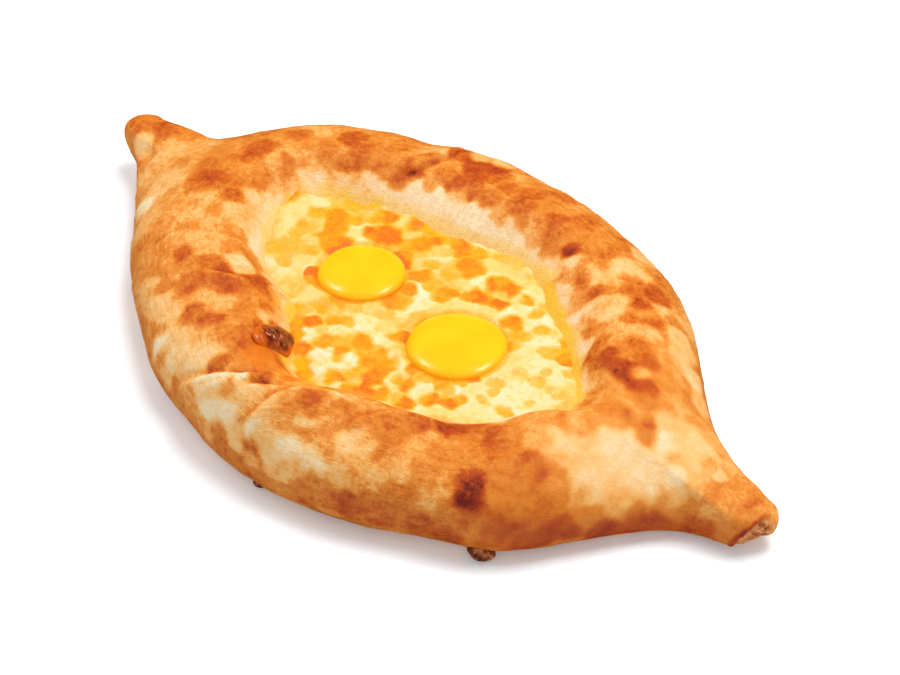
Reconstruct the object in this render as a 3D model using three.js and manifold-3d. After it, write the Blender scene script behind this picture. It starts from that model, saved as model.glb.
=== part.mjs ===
// A boat-shaped khachapuri: a bread baked open in the middle, filled with cheese, with two egg yolks.
// Millimetres. +X runs along the boat, +Z is up, and the origin is under the middle, on the table.

import * as THREE from 'three';
import { mergeVertices } from 'three/addons/utils/BufferGeometryUtils.js';
import Module from 'manifold-3d';

// ---- the boat's outline, seen from above ----
const HALF_LENGTH = 170;
const BEAM = 84; // half width that the body adds to the knobs at the middle
const FULLNESS = 2.8; // how long the sides stay wide
const TAPER = 2.2; // how sharply they then close
const KNOB = { left: 7.8, right: 10.1 }; // half width of the twisted ends
const TIP_Y = { left: 13.7, right: 12.5 }; // both ends lean towards the far side
const OUTLINE_END = 8; // power with which a swell dies out at the tips

// swells (+) and hollows (-) of the two sides: where along X, how long, how much
const FAR_SWELLS = [
  { x: -152, width: 9, amount: 1.8 },
  { x: -132, width: 17, amount: -5 },
  { x: -102, width: 23, amount: 2.4 },
  { x: -57, width: 20, amount: -3.8 },
  { x: 45, width: 20, amount: -1.2 },
  { x: 112, width: 22, amount: -5.4 },
  { x: 134, width: 18, amount: -3.5 },
];
const NEAR_SWELLS = [
  { x: -154, width: 17, amount: -1.7 },
  { x: -72, width: 37, amount: -5.6 },
  { x: -27, width: 20, amount: -2 },
  { x: 105, width: 20, amount: 8.5 },
  { x: 143, width: 19, amount: -7.9 },
];

// ---- the opening: its radius every 20 degrees, anticlockwise from +X ----
const OPENING = [84, 68.5, 57, 54, 51, 46.5, 50.5, 61, 76, 69, 55.5, 40.5, 42, 51, 57, 55, 62, 73.5];
const OPENING_SPREAD = 0.34; // under 1 gathers the sections of both necks at the opening's corners

// ---- the rim's section ----
const CREST = 38.4; // height of the rim
const CREST_DIP = { at: 303, width: 12, amount: -4.5 }; // degrees round the boat, mm
const CREST_INWARD = { at: 285, width: 25, amount: -4 };
const CREST_FROM_LIP = 20;
const CREST_FROM_LIP_AT_ENDS = 6;
const CREST_SHARE = 0.45; // the crest is never further out than this share of the rim
const SIDE = 14; // height of the widest line
const SIDE_DROP_AT_ENDS = 2;
const BASE_INSET = 11; // how far the base edge is inside the widest line
const BASE_INSET_SHARE = 0.25;
const BASE_INSET_LOSS_AT_ENDS = 0.5;
const BASE_SHARE = 0.68; // the base is flat on the table inside this share of its edge
const ROUND = 2.3; // roundness of the outer slope, where 2 is an ellipse
const ROUND_SWELL = { at: 93, width: 14, amount: 0.7 }; // fuller in the middle of the far side
const LEVEL = 24; // cheese level
const FLOOR = 10; // bread under the cheese
const ENDS_FROM = 0.75; // share of the half length where the ends begin

// the ends are lower than the middle and lifted clear of the table
const DROP = { left: 0.48, right: 0.51, from: 95, to: 168 };
const LIFT = { left: 13.4, right: 4.5, from: { left: 125, right: 120 }, to: 170 };

// ---- folds where one roll of dough lies over another ----
// points on the fold in plan, with the raised roll on the right of the way they run
const FOLDS = [
  { points: [[-36, -88], [-21, -84], [-2, -77], [8, -70], [16, -62]], height: 3, groove: 1.2, reach: 16 },
  { points: [[10, -90], [13, -83], [16, -75], [24, -66], [44, -59]], height: 3.5, groove: 1.2, reach: 16 },
  { points: [[43, -71], [45, -63], [50, -55], [58, -48], [66, -42]], height: 3, groove: 1, reach: 14 },
  { points: [[72, -38], [81, -33], [90, -30]], height: 1.2, groove: 0.6, reach: 14 },
  { points: [[-40, 80], [-40, 66], [-43, 57], [-46, 50]], height: 2.5, groove: 1, reach: 12 },
  { points: [[-58, -46], [-47, -42], [-40, -39]], height: 2, groove: 0.8, reach: 10 },
];
const FOLD_EDGE = 1.6;
const FOLD_FADE = 1.5; // the fold is gone this many reaches away from its line
const FOLD_STEPS = 24;

// lumps (+) and scoops (-) of the crust: centre, radius and height
const LUMPS = [
  { at: [169, 4, 8.5], radius: 6, amount: -3.5 }, // torn end of the right knob
  { at: [-143, 17, 30], radius: 9, amount: 3 }, // top of the left knob
  { at: [-145, 2, 22], radius: 5, amount: -2 }, // crease under it
  { at: [-37, 76, 37], radius: 7, amount: 1.5 }, // two bumps on the far side
  { at: [96, -57, 27], radius: 16, amount: 1.5 }, // belly of the near side
  { at: [122, -8, 30], radius: 18, amount: -1.5 }, // saddle before the right knob
  { at: [-78, 19, 27], radius: 6, amount: -2 }, // small hollow in the far left corner
];
const FOLDS_FROM = { none: 10, full: 26 }; // heights over the table between which the folds rise
const LUMPS_FROM = { none: 1, full: 5 };

// burnt drips fused under the near side
const DRIPS = [
  { at: [97, -58.8, 2.8], radii: [5, 4.5, 2.6] },
  { at: [14.9, -86.8, 2.2], radii: [2.6, 3, 2] },
];

// ---- the filling ----
const PLUG_OVER = 6; // how far the cheese's uncut plug reaches past the lip
const CHEESE_SWELLS = [
  { x: -79, y: 16, radius: 9, amount: 3.2 }, // clinging to the wall in the left corner
  { x: 80, y: 3, radius: 8, amount: 1.6 },
  { x: -52, y: 12, radius: 14, amount: 1.2 },
  { x: 2, y: 26, radius: 14, amount: 1.4 },
  { x: 2, y: -28, radius: 15, amount: 1.2 },
  { x: 58, y: 8, radius: 14, amount: 1 },
];
const COLLAR = { away: 2.5, width: 3.5, height: 1 }; // cheese swollen round each yolk

const YOLKS = [
  { name: 'yolk_left', x: -24, y: 3.7, radius: 17.2 },
  { name: 'yolk_right', x: 32.3, y: -2.9, radius: 19.1 },
];
const YOLK_RISE = 4.8;
const YOLK_SINK = 5;
const YOLK_SHAPE = { plan: 3.2, rise: 2 }; // flattened dome with a round shoulder
const GAP = 0.3; // between touching pieces

// the scorched blister of cheese on the left rim
const BLISTER = {
  at: [-14.6, -51, 29.8],
  radii: [14.8, 6.8, 3.2],
  along: [-0.13, 0.77, -0.62],
  out: [0.56, 0.55, 0.62],
};

// ---- mesh steps ----
const BREAD_STEPS = { round: 144, side: 4, slope: 11, inner: 8 };
const CHEESE_STEPS = { round: 72, top: 7 };
const YOLK_STEPS = { round: 28, profile: 5 };
const BLISTER_STEPS = { round: 16, rings: 10 };
const DRIP_STEPS = { round: 10, rings: 6 };

const TAU = 2 * Math.PI;

function smooth(from, to, value) {
  const t = THREE.MathUtils.clamp((value - from) / (to - from), 0, 1);
  return t * t * (3 - 2 * t);
}

function bell(distance, width) {
  return Math.exp(-((distance / width) ** 2));
}

function mix(ends, t) {
  return THREE.MathUtils.lerp(ends.left, ends.right, t);
}

// a bell centred on an angle round the boat
function bellRound(angle, { at, width, amount }) {
  const degrees = THREE.MathUtils.radToDeg(angle);
  const away = THREE.MathUtils.euclideanModulo(degrees - at + 180, 360) - 180;
  return amount * bell(away, width);
}

// outer edge in plan at the angle: x runs as a cosine, y is the side's half width about the keel line
function outline(angle) {
  const x = HALF_LENGTH * Math.cos(angle);
  const t = Math.abs(Math.cos(angle));
  const along = smooth(-HALF_LENGTH, HALF_LENGTH, x);
  const knob = mix(KNOB, along);
  const body = BEAM * (1 - t ** FULLNESS) ** TAPER;
  const swells = Math.sin(angle) >= 0 ? FAR_SWELLS : NEAR_SWELLS;
  const swell = swells.reduce((sum, s) => sum + s.amount * bell(x - s.x, s.width), 0);
  const fade = Math.sqrt(1 - t ** OUTLINE_END);
  const knobFrom = 1 - knob / HALF_LENGTH;
  const nose = THREE.MathUtils.clamp((t - knobFrom) / (1 - knobFrom), 0, 1);
  const width = (knob + body + swell * fade) * Math.sqrt(1 - nose * nose);
  return new THREE.Vector2(x, mix(TIP_Y, along) * t * t + Math.sign(Math.sin(angle)) * width);
}

const openingPoints = OPENING.map((radius, i) => {
  const turn = (TAU * i) / OPENING.length;
  return new THREE.Vector3(radius * Math.cos(turn), radius * Math.sin(turn), 0);
});
const openingCurve = new THREE.CatmullRomCurve3(openingPoints, true, 'catmullrom');

// edge of the opening in plan, at cheese level
function opening(angle) {
  const turned = Math.atan2(OPENING_SPREAD * Math.sin(angle), Math.cos(angle));
  const point = openingCurve.getPoint(THREE.MathUtils.euclideanModulo(turned, TAU) / TAU);
  return new THREE.Vector2(point.x, point.y);
}

// the sizes of the rim's section at one angle
function sectionAt(angle) {
  const lip = opening(angle);
  const out = outline(angle).sub(lip);
  const reach = out.length();
  out.normalize();
  const ends = smooth(ENDS_FROM, 1, Math.abs(Math.cos(angle)));
  const wantedCrest = CREST_FROM_LIP + CREST_FROM_LIP_AT_ENDS * ends + bellRound(angle, CREST_INWARD);
  const crestOut = Math.min(CREST_SHARE * reach, wantedCrest);
  const crest = CREST + bellRound(angle, CREST_DIP);
  const round = ROUND + bellRound(angle, ROUND_SWELL);
  const side = SIDE - SIDE_DROP_AT_ENDS * ends;
  const inset = Math.min(BASE_INSET, BASE_INSET_SHARE * reach) * (1 - BASE_INSET_LOSS_AT_ENDS * ends);
  const lipShare = Math.acos((2 * (LEVEL - FLOOR)) / (crest - FLOOR) - 1) / Math.PI;
  const wellIn = (crestOut * (1 - lipShare)) / lipShare;
  return { lip, out, reach, crestOut, crest, round, side, inset, lipShare, wellIn };
}

// the inner slope, from the crest (0) through the lip down to the floor (1)
function innerSlope(section, share) {
  const away = section.crestOut - (section.crestOut + section.wellIn) * share;
  const height = FLOOR + (section.crest - FLOOR) * (0.5 + 0.5 * Math.cos(Math.PI * share));
  return [away, height];
}

// section line of the bread from the base edge over the crest to the floor,
// as distance outwards from the lip and height
function breadSection(section) {
  const { reach, crestOut, crest, round, side, inset } = section;
  const line = [];
  for (let i = 0; i < BREAD_STEPS.side; i += 1) {
    const turn = (Math.PI / 2) * (i / BREAD_STEPS.side);
    line.push([reach - inset * (1 - Math.sin(turn)), side * (1 - Math.cos(turn))]);
  }
  for (let i = 0; i < BREAD_STEPS.slope; i += 1) {
    const turn = (Math.PI / 2) * (i / BREAD_STEPS.slope);
    const away = crestOut + (reach - crestOut) * Math.cos(turn) ** (2 / round);
    line.push([away, side + (crest - side) * Math.sin(turn) ** (2 / round)]);
  }
  for (let i = 0; i <= BREAD_STEPS.inner; i += 1) {
    line.push(innerSlope(section, i / BREAD_STEPS.inner));
  }
  return line;
}

function place(section, [away, height]) {
  const x = section.lip.x + section.out.x * away;
  const y = section.lip.y + section.out.y * away;
  const drop = DROP.right * smooth(DROP.from, DROP.to, x) + DROP.left * smooth(DROP.from, DROP.to, -x);
  const liftRight = LIFT.right * smooth(LIFT.from.right, LIFT.to, x);
  const liftLeft = LIFT.left * smooth(LIFT.from.left, LIFT.to, -x);
  return new THREE.Vector3(x, y, height * (1 - drop) + liftRight + liftLeft);
}

// one column of points per angle
function columns(count, sectionLine) {
  return Array.from({ length: count }, (_, i) => {
    const section = sectionAt((TAU * i) / count);
    return sectionLine(section).map((point) => place(section, point));
  });
}

// signed distance in plan to a fold, positive on its raised side, and the share of its length
function nearFold(line, x, y) {
  let best = { distance: Infinity, side: 1, share: 0 };
  for (let i = 0; i < FOLD_STEPS; i += 1) {
    const start = line[i];
    const step = new THREE.Vector2().subVectors(line[i + 1], start);
    const from = new THREE.Vector2(x, y).sub(start);
    const t = THREE.MathUtils.clamp(from.dot(step) / step.lengthSq(), 0, 1);
    const side = from.x * step.y - from.y * step.x;
    const distance = from.addScaledVector(step, -t).length();
    if (distance < best.distance) {
      best = { distance, side: Math.sign(side), share: (i + t) / FOLD_STEPS };
    }
  }
  return best;
}

const foldLines = FOLDS.map((fold) => {
  const curve = new THREE.CatmullRomCurve3(fold.points.map(([x, y]) => new THREE.Vector3(x, y, 0)));
  return curve.getSpacedPoints(FOLD_STEPS).map((point) => new THREE.Vector2(point.x, point.y));
});

// a step up to the raised roll, which sinks back over its reach, with a groove at its foot
function foldHeight(fold, line, point) {
  const { distance, side, share } = nearFold(line, point.x, point.y);
  const signed = distance * side;
  const alongLine = Math.sqrt(Math.max(0, Math.sin(Math.PI * share)));
  const nearLine = 1 - smooth(0, FOLD_FADE * fold.reach, distance);
  const sinking = Math.exp(-Math.max(signed, 0) / fold.reach);
  const roll = fold.height * smooth(-FOLD_EDGE, FOLD_EDGE, signed) * sinking;
  return (roll - fold.groove * bell(signed, FOLD_EDGE)) * alongLine * nearLine;
}

function relief(point) {
  const folds = FOLDS.reduce((sum, fold, i) => sum + foldHeight(fold, foldLines[i], point), 0);
  const lumps = LUMPS.reduce((sum, lump) => {
    const distance = point.distanceTo(new THREE.Vector3(...lump.at));
    return sum + lump.amount * bell(distance, lump.radius);
  }, 0);
  const foldFade = smooth(FOLDS_FROM.none, FOLDS_FROM.full, point.z);
  return folds * foldFade + lumps * smooth(LUMPS_FROM.none, LUMPS_FROM.full, point.z);
}

// moves each point along the surface's normal by the height that the function gives
function displaced(grid, height) {
  const count = grid.length;
  return grid.map((column, i) => column.map((point, j) => {
    const last = column.length - 1;
    const ahead = grid[(i + 1) % count][j];
    const behind = grid[(i + count - 1) % count][j];
    const round = new THREE.Vector3().subVectors(ahead, behind);
    const up = new THREE.Vector3().subVectors(column[Math.min(j + 1, last)], column[Math.max(j - 1, 0)]);
    const normal = round.cross(up).normalize();
    return point.clone().addScaledVector(normal, height(point, j));
  }));
}

// a flat base inside the base edge, which leaves only the ends off the table
function withBase(grid) {
  return grid.map(([edge, ...rest]) => {
    const inner = new THREE.Vector3(edge.x * BASE_SHARE, edge.y * BASE_SHARE, 0);
    return [inner, edge, ...rest];
  });
}

// closed body from columns that run from a lower middle point to an upper one
function closedBody(grid, low, high) {
  const positions = [low, high, ...grid.flat()].flatMap((point) => [point.x, point.y, point.z]);
  const rows = grid[0].length;
  const indices = [];
  grid.forEach((_, i) => {
    const here = 2 + i * rows;
    const next = 2 + ((i + 1) % grid.length) * rows;
    indices.push(0, next, here, 1, here + rows - 1, next + rows - 1);
    for (let j = 0; j < rows - 1; j += 1) {
      indices.push(here + j, next + j, next + j + 1, here + j, next + j + 1, here + j + 1);
    }
  });
  const geometry = new THREE.BufferGeometry();
  geometry.setAttribute('position', new THREE.Float32BufferAttribute(positions, 3));
  geometry.setIndex(indices);
  return geometry;
}

// the bread, grown all over by the given amount where another piece must stay clear of it
function breadBody(grown) {
  const base = columns(BREAD_STEPS.round, breadSection);
  const innerFrom = BREAD_STEPS.side + BREAD_STEPS.slope;
  const lipRow = innerFrom + BREAD_STEPS.inner / 2;
  const grid = displaced(base, (point, row) => {
    const clearOfFilling = 1 - smooth(innerFrom + 1, lipRow, row);
    return relief(point) * clearOfFilling + grown;
  });
  return closedBody(withBase(grid), new THREE.Vector3(), new THREE.Vector3(0, 0, FLOOR + grown));
}

function cheeseHeight(x, y) {
  const swells = CHEESE_SWELLS.reduce((sum, swell) => {
    const away = Math.hypot(x - swell.x, y - swell.y);
    return sum + swell.amount * bell(away, swell.radius);
  }, 0);
  const collars = YOLKS.reduce((sum, yolk) => {
    const away = Math.hypot(x - yolk.x, y - yolk.y) - yolk.radius - COLLAR.away;
    return sum + COLLAR.height * bell(away, COLLAR.width);
  }, 0);
  return LEVEL + swells + collars;
}

// a plug of cheese that reaches a little into the bread, which is then cut out of it
function cheesePlug(grown) {
  const line = () => [[PLUG_OVER, FLOOR - grown], [PLUG_OVER, LEVEL]];
  const grid = columns(CHEESE_STEPS.round, line).map(([foot, edge]) => {
    const top = [];
    for (let i = 0; i < CHEESE_STEPS.top; i += 1) {
      const share = 1 - i / CHEESE_STEPS.top;
      const [x, y] = [edge.x * share, edge.y * share];
      top.push(new THREE.Vector3(x, y, cheeseHeight(x, y) + grown));
    }
    return [foot, ...top];
  });
  const low = new THREE.Vector3(0, 0, FLOOR - grown);
  return closedBody(grid, low, new THREE.Vector3(0, 0, cheeseHeight(0, 0) + grown));
}

function yolkBody({ x, y, radius }, grown) {
  const profile = [];
  for (let i = -YOLK_STEPS.profile; i <= YOLK_STEPS.profile; i += 1) {
    const turn = (Math.PI / 2) * (i / YOLK_STEPS.profile);
    const across = (radius + grown) * Math.max(0, Math.cos(turn)) ** (2 / YOLK_SHAPE.plan);
    const high = Math.abs(Math.sin(turn)) ** (2 / YOLK_SHAPE.rise);
    const height = i > 0 ? (YOLK_RISE + grown) * high : -(YOLK_SINK + grown) * high;
    profile.push(new THREE.Vector2(Math.abs(i) === YOLK_STEPS.profile ? 0 : across, height));
  }
  const geometry = new THREE.LatheGeometry(profile, YOLK_STEPS.round);
  geometry.rotateX(Math.PI / 2);
  geometry.translate(x, y, LEVEL);
  return geometry;
}

function ellipsoid({ at, radii }, steps, turn = new THREE.Quaternion()) {
  const geometry = new THREE.SphereGeometry(1, steps.round, steps.rings);
  geometry.scale(...radii);
  geometry.applyQuaternion(turn);
  geometry.translate(...at);
  return geometry;
}

function blisterBody() {
  const along = new THREE.Vector3(...BLISTER.along).normalize();
  const out = new THREE.Vector3(...BLISTER.out);
  const across = new THREE.Vector3().crossVectors(out, along).normalize();
  out.crossVectors(along, across);
  const axes = new THREE.Matrix4().makeBasis(along, across, out);
  return ellipsoid(BLISTER, BLISTER_STEPS, new THREE.Quaternion().setFromRotationMatrix(axes));
}

// ---- cutting and joining ----
const wasm = await Module();
wasm.setup();

function toSolid(geometry) {
  const bare = geometry.clone();
  bare.deleteAttribute('normal');
  bare.deleteAttribute('uv');
  const merged = mergeVertices(bare);
  return new wasm.Manifold(new wasm.Mesh({
    numProp: 3,
    vertProperties: new Float32Array(merged.attributes.position.array),
    triVerts: new Uint32Array(merged.index.array),
  }));
}

function toGeometry(solid) {
  const mesh = solid.getMesh();
  const geometry = new THREE.BufferGeometry();
  geometry.setAttribute('position', new THREE.BufferAttribute(mesh.vertProperties, 3));
  geometry.setIndex(new THREE.BufferAttribute(mesh.triVerts, 1));
  return geometry;
}

function buildBread() {
  const drips = DRIPS.map((drip) => toSolid(ellipsoid(drip, DRIP_STEPS)));
  return toGeometry(drips.reduce((bread, drip) => bread.add(drip), toSolid(breadBody(0))));
}

function buildCheese() {
  const others = [breadBody(GAP), ...YOLKS.map((yolk) => yolkBody(yolk, GAP))].map(toSolid);
  return toGeometry(others.reduce((cheese, other) => cheese.subtract(other), toSolid(cheesePlug(0))));
}

function buildBlister() {
  const others = [breadBody(GAP), cheesePlug(GAP)].map(toSolid);
  return toGeometry(others.reduce((blister, other) => blister.subtract(other), toSolid(blisterBody())));
}

// ---- materials ----
const CRUST = new THREE.MeshStandardMaterial({ color: 0xdf9a54, roughness: 0.55, metalness: 0 });
const CHEESE = new THREE.MeshStandardMaterial({ color: 0xf7df86, roughness: 0.35, metalness: 0 });
const YOLK = new THREE.MeshStandardMaterial({ color: 0xfccb10, roughness: 0.2, metalness: 0 });
const SCORCHED = new THREE.MeshStandardMaterial({ color: 0x7a2c0c, roughness: 0.2, metalness: 0 });

function piece(name, geometry, material) {
  const mesh = new THREE.Mesh(geometry, material);
  mesh.name = name;
  return mesh;
}

const khachapuri = new THREE.Group();
khachapuri.add(piece('bread', buildBread(), CRUST));
khachapuri.add(piece('cheese', buildCheese(), CHEESE));
YOLKS.forEach((yolk) => khachapuri.add(piece(yolk.name, yolkBody(yolk, 0), YOLK)));
khachapuri.add(piece('scorched_cheese', buildBlister(), SCORCHED));

export default khachapuri;
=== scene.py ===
# %% [markdown]
# # A boat-shaped cheese bread
#
# A long bread is folded up at both sides into a boat, filled with cheese, and baked. Near the end two egg
# yolks are dropped in, and melted butter runs round the edge of the cheese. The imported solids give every
# piece its place and size. This lesson gives each piece a fine surface and a finish.
#
# The solids could be given better materials as they are, but they have a few hundred faces each and a crust
# is all bumps. So every piece is worked out again from the same sizes on a much finer grid.

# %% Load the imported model
import bpy
import numpy as np
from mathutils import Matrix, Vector


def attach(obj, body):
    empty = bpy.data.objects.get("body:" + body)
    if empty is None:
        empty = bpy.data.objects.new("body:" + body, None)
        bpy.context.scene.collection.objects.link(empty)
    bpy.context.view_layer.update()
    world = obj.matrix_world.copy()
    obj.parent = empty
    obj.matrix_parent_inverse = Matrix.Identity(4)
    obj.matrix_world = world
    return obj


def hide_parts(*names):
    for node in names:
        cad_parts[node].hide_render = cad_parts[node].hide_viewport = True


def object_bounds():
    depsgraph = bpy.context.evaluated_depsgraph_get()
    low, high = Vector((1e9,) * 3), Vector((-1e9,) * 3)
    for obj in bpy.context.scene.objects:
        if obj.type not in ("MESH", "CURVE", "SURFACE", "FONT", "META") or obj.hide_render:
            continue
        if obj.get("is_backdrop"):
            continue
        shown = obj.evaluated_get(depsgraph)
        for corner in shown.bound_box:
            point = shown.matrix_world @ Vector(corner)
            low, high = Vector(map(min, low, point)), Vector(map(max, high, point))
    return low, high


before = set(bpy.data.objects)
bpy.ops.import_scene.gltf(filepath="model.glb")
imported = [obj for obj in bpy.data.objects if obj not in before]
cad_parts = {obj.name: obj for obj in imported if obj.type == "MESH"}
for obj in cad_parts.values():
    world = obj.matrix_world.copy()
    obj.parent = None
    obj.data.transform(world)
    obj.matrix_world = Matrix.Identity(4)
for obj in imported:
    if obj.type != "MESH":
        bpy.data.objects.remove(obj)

CAD_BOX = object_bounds()
print("pieces:", sorted(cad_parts))

# %% [markdown]
# ## The camera
#
# The bread lies on a table and is seen from above, at 40 degrees over the table, with its near side to the
# left. A long lens keeps the far end almost as large as the near end. The camera only needs the point on the
# table that it looks at, its direction and its distance. Sizes are in millimetres until they reach Blender.

# %% Camera
MM = 0.001
AIM = Vector((6.62, 20.68, 0.0)) * MM
AZIMUTH, ELEVATION = np.radians([43.4, 40.0])
DISTANCE = 1000 * MM
LENS = 103.1

towards_camera = Vector((
    np.sin(AZIMUTH) * np.cos(ELEVATION), -np.cos(AZIMUTH) * np.cos(ELEVATION), np.sin(ELEVATION),
))
camera = bpy.data.objects.new("camera", bpy.data.cameras.new("camera"))
camera.data.lens = LENS
camera.location = AIM + towards_camera * DISTANCE
camera.rotation_euler = towards_camera.to_track_quat("Z", "Y").to_euler()
bpy.context.collection.objects.link(camera)
bpy.context.scene.camera = camera
print("camera at", [round(c, 3) for c in camera.location])

# %% [markdown]
# ## Light
#
# Food on a white table is lit by a bright room and one large soft lamp high behind it, so the side that
# faces the camera stays open and the shadow is short and soft. A weak lamp fills the left end. Two panels
# overhead put the crescents of light on the wet yolks. The room is the world's even white, the lamps are area
# lights. A white room would also mirror in the crust as a grey veil, so the room and both lamps are left out
# of reflections, as a photographer does with black cards, and the panels are only there for them.

# %% Light
ROOM_WHITE, ROOM_STRENGTH = (0.99, 0.99, 0.985, 1), 0.66
# place, side, power
LAMPS = {"lamp_behind": ((0.14, 0.34, 1.15), 0.65, 13.3), "lamp_left": ((-0.85, -0.20, 0.50), 0.50, 2.0)}
PANELS = {"panel_left": (-0.60, -0.28, 0.95), "panel_right": (0.45, 0.36, 0.85)}
PANEL_SIZE, PANEL_POWER = (0.30, 0.22), 3.5


def area_light(name, place, size, power):
    """A lamp of the given size at a place in metres, turned to the middle of the bread."""
    lamp = bpy.data.lights.new(name, "AREA")
    lamp.shape = "RECTANGLE"
    lamp.size, lamp.size_y = size
    lamp.energy = power
    holder = bpy.data.objects.new(name, lamp)
    holder.location = place
    holder.rotation_euler = Vector(place).to_track_quat("Z", "Y").to_euler()
    bpy.context.collection.objects.link(holder)
    return holder


scene = bpy.context.scene
scene.view_settings.view_transform = "Standard"
scene.world = bpy.data.worlds.new("room")
scene.world.use_nodes = True
room = scene.world.node_tree.nodes["Background"]
room.inputs["Color"].default_value = ROOM_WHITE
room.inputs["Strength"].default_value = ROOM_STRENGTH
scene.world.cycles_visibility.glossy = False
for name, (place, side, power) in LAMPS.items():
    area_light(name, place, (side, side), power).visible_glossy = False
for name, place in PANELS.items():
    area_light(name, place, PANEL_SIZE, PANEL_POWER).visible_diffuse = False

# %% [markdown]
# ## Writing shader maths
#
# A finish is a tree of nodes, and a tree in code soon gets hard to read. One small class wraps a socket, so
# that `1 - mask * 0.5` adds its own Math nodes. A second class holds one finish and adds any other node.

# %% Shader helpers
class Wire:
    """One output of a node. Arithmetic on it adds a Math node for each operator."""

    def __init__(self, finish, socket):
        self.finish = finish
        self.socket = socket

    def maths(self, operation, first, second):
        """A Math node on two wires or numbers."""
        return self.finish.node("ShaderNodeMath", {"operation": operation}, {0: first, 1: second})

    def __add__(self, other):
        return self.maths("ADD", self, other)

    def __radd__(self, other):
        return self.maths("ADD", other, self)

    def __sub__(self, other):
        return self.maths("SUBTRACT", self, other)

    def __rsub__(self, other):
        return self.maths("SUBTRACT", other, self)

    def __mul__(self, other):
        return self.maths("MULTIPLY", self, other)

    def __rmul__(self, other):
        return self.maths("MULTIPLY", other, self)

    def __truediv__(self, other):
        return self.maths("DIVIDE", self, other)

    def between(self, low, high):
        """0 below low, 1 above high, and a straight rise between them."""
        return self.finish.node("ShaderNodeMapRange", {}, {0: self, 1: low, 2: high})


class Finish:
    """One material: its main shader, and a method that adds any node to it."""

    def __init__(self, name, **fixed):
        self.material = bpy.data.materials.new(name)
        self.material.use_nodes = True
        self.tree = self.material.node_tree
        self.shader = self.tree.nodes["Principled BSDF"]
        for socket, value in fixed.items():
            self.feed(self.shader.inputs[socket.replace("_", " ")], value)

    def feed(self, socket, value):
        """A link if the value is a wire, and otherwise a fixed value."""
        if isinstance(value, Wire):
            self.tree.links.new(value.socket, socket)
        else:
            socket.default_value = value

    def node(self, kind, settings, inputs, output=0):
        """Any node, with its settings and what goes into its sockets, as a wire from one of its outputs."""
        node = self.tree.nodes.new(kind)
        for name, value in settings.items():
            if name == "stops":
                self.set_stops(node.color_ramp, value)
            else:
                setattr(node, name, value)
        for name, value in inputs.items():
            self.feed(node.inputs[name], value)
        return Wire(self, node.outputs[output])

    def set_stops(self, ramp, stops):
        """Each stop is a place from 0 to 1 and a colour."""
        while len(ramp.elements) < len(stops):
            ramp.elements.new(1.0)
        for element, (place, colour) in zip(ramp.elements, stops):
            element.position = place
            element.color = colour

    def attribute(self, name):
        """A level that the mesh keeps for each of its points."""
        return self.node("ShaderNodeAttribute", {"attribute_name": name}, {}, "Fac")

    def noise(self, size, detail=2.0, roughness=0.5):
        """Cloudy noise from 0 to 1 whose lumps are about size millimetres across."""
        place = self.node("ShaderNodeTexCoord", {}, {}, "Object")
        inputs = {"Vector": place, "Scale": 1 / (size * MM), "Detail": detail, "Roughness": roughness}
        return self.node("ShaderNodeTexNoise", {}, inputs)

    def ramp(self, value, stops):
        """The value from 0 to 1 as a colour, blended between stops."""
        return self.node("ShaderNodeValToRGB", {"stops": stops}, {0: value})

    def blend(self, mask, first, second, how="MIX"):
        """The first colour where the mask is 0 and the second where it is 1."""
        settings = {"data_type": "RGBA", "blend_type": how}
        return self.node("ShaderNodeMix", settings, {0: mask, 6: first, 7: second}, 2)

    def bump(self, height, depth):
        """Height from 0 to 1 as a relief of the given depth in millimetres."""
        return self.node("ShaderNodeBump", {}, {"Height": height, "Distance": depth * MM, "Strength": 1.0})

    def use(self, **varying):
        """Feeds the main shader's sockets."""
        for socket, value in varying.items():
            self.feed(self.shader.inputs[socket.replace("_", " ")], value)


def paint(*screen):
    """A colour in screen values from 0 to 255 as the linear values that nodes work in."""
    share = np.array(screen) / 255
    linear = np.where(share <= 0.04045, share / 12.92, ((share + 0.055) / 1.055) ** 2.4)
    return (*[float(c) for c in linear], 1.0)


print("crust gold in linear light:", [round(c, 3) for c in paint(243, 175, 92)])

# %% [markdown]
# ## Building blocks for shapes
#
# Every surface here is a grid of points: one column for each direction round the piece, one row for each step
# along its section. The grid is worked out as whole numpy arrays. It becomes a closed mesh by joining the
# last column to the first and closing each end on one point. Relief is then pushed out along the surface's
# own normal, which the neighbouring points of the grid give.

# %% Curves and noise
TAU = 2 * np.pi


def smooth(start, stop, value):
    """0 before start, 1 after stop, and 3t^2 - 2t^3 between, where t is the share of the way."""
    t = np.clip((value - start) / (stop - start), 0, 1)
    return t * t * (3 - 2 * t)


def bell(distance, width):
    """e to the minus (distance / width) squared."""
    return np.exp(-((distance / width) ** 2))


LATTICE_SIDE = 32
LATTICE = np.random.default_rng(1618).uniform(-1, 1, (LATTICE_SIDE,) * 3)


def cloud(points, size, shift=0.0):
    """Noise from -1 to 1: random numbers on a lattice of the given size in mm, blended between the eight
    corners of each cell by 6t^5 - 15t^4 + 10t^3."""
    scaled = points / size + shift
    cell = np.floor(scaled).astype(int)
    t = scaled - cell
    t = t**3 * (t * (6 * t - 15) + 10)
    total = np.zeros(points.shape[:-1])
    for corner in np.ndindex(2, 2, 2):
        weight = np.prod(np.where(corner, t, 1 - t), axis=-1)
        x, y, z = np.moveaxis((cell + corner) % LATTICE_SIDE, -1, 0)
        total += weight * LATTICE[x, y, z]
    return total


BURNT = 1.2  # the highest level of browning


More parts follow.
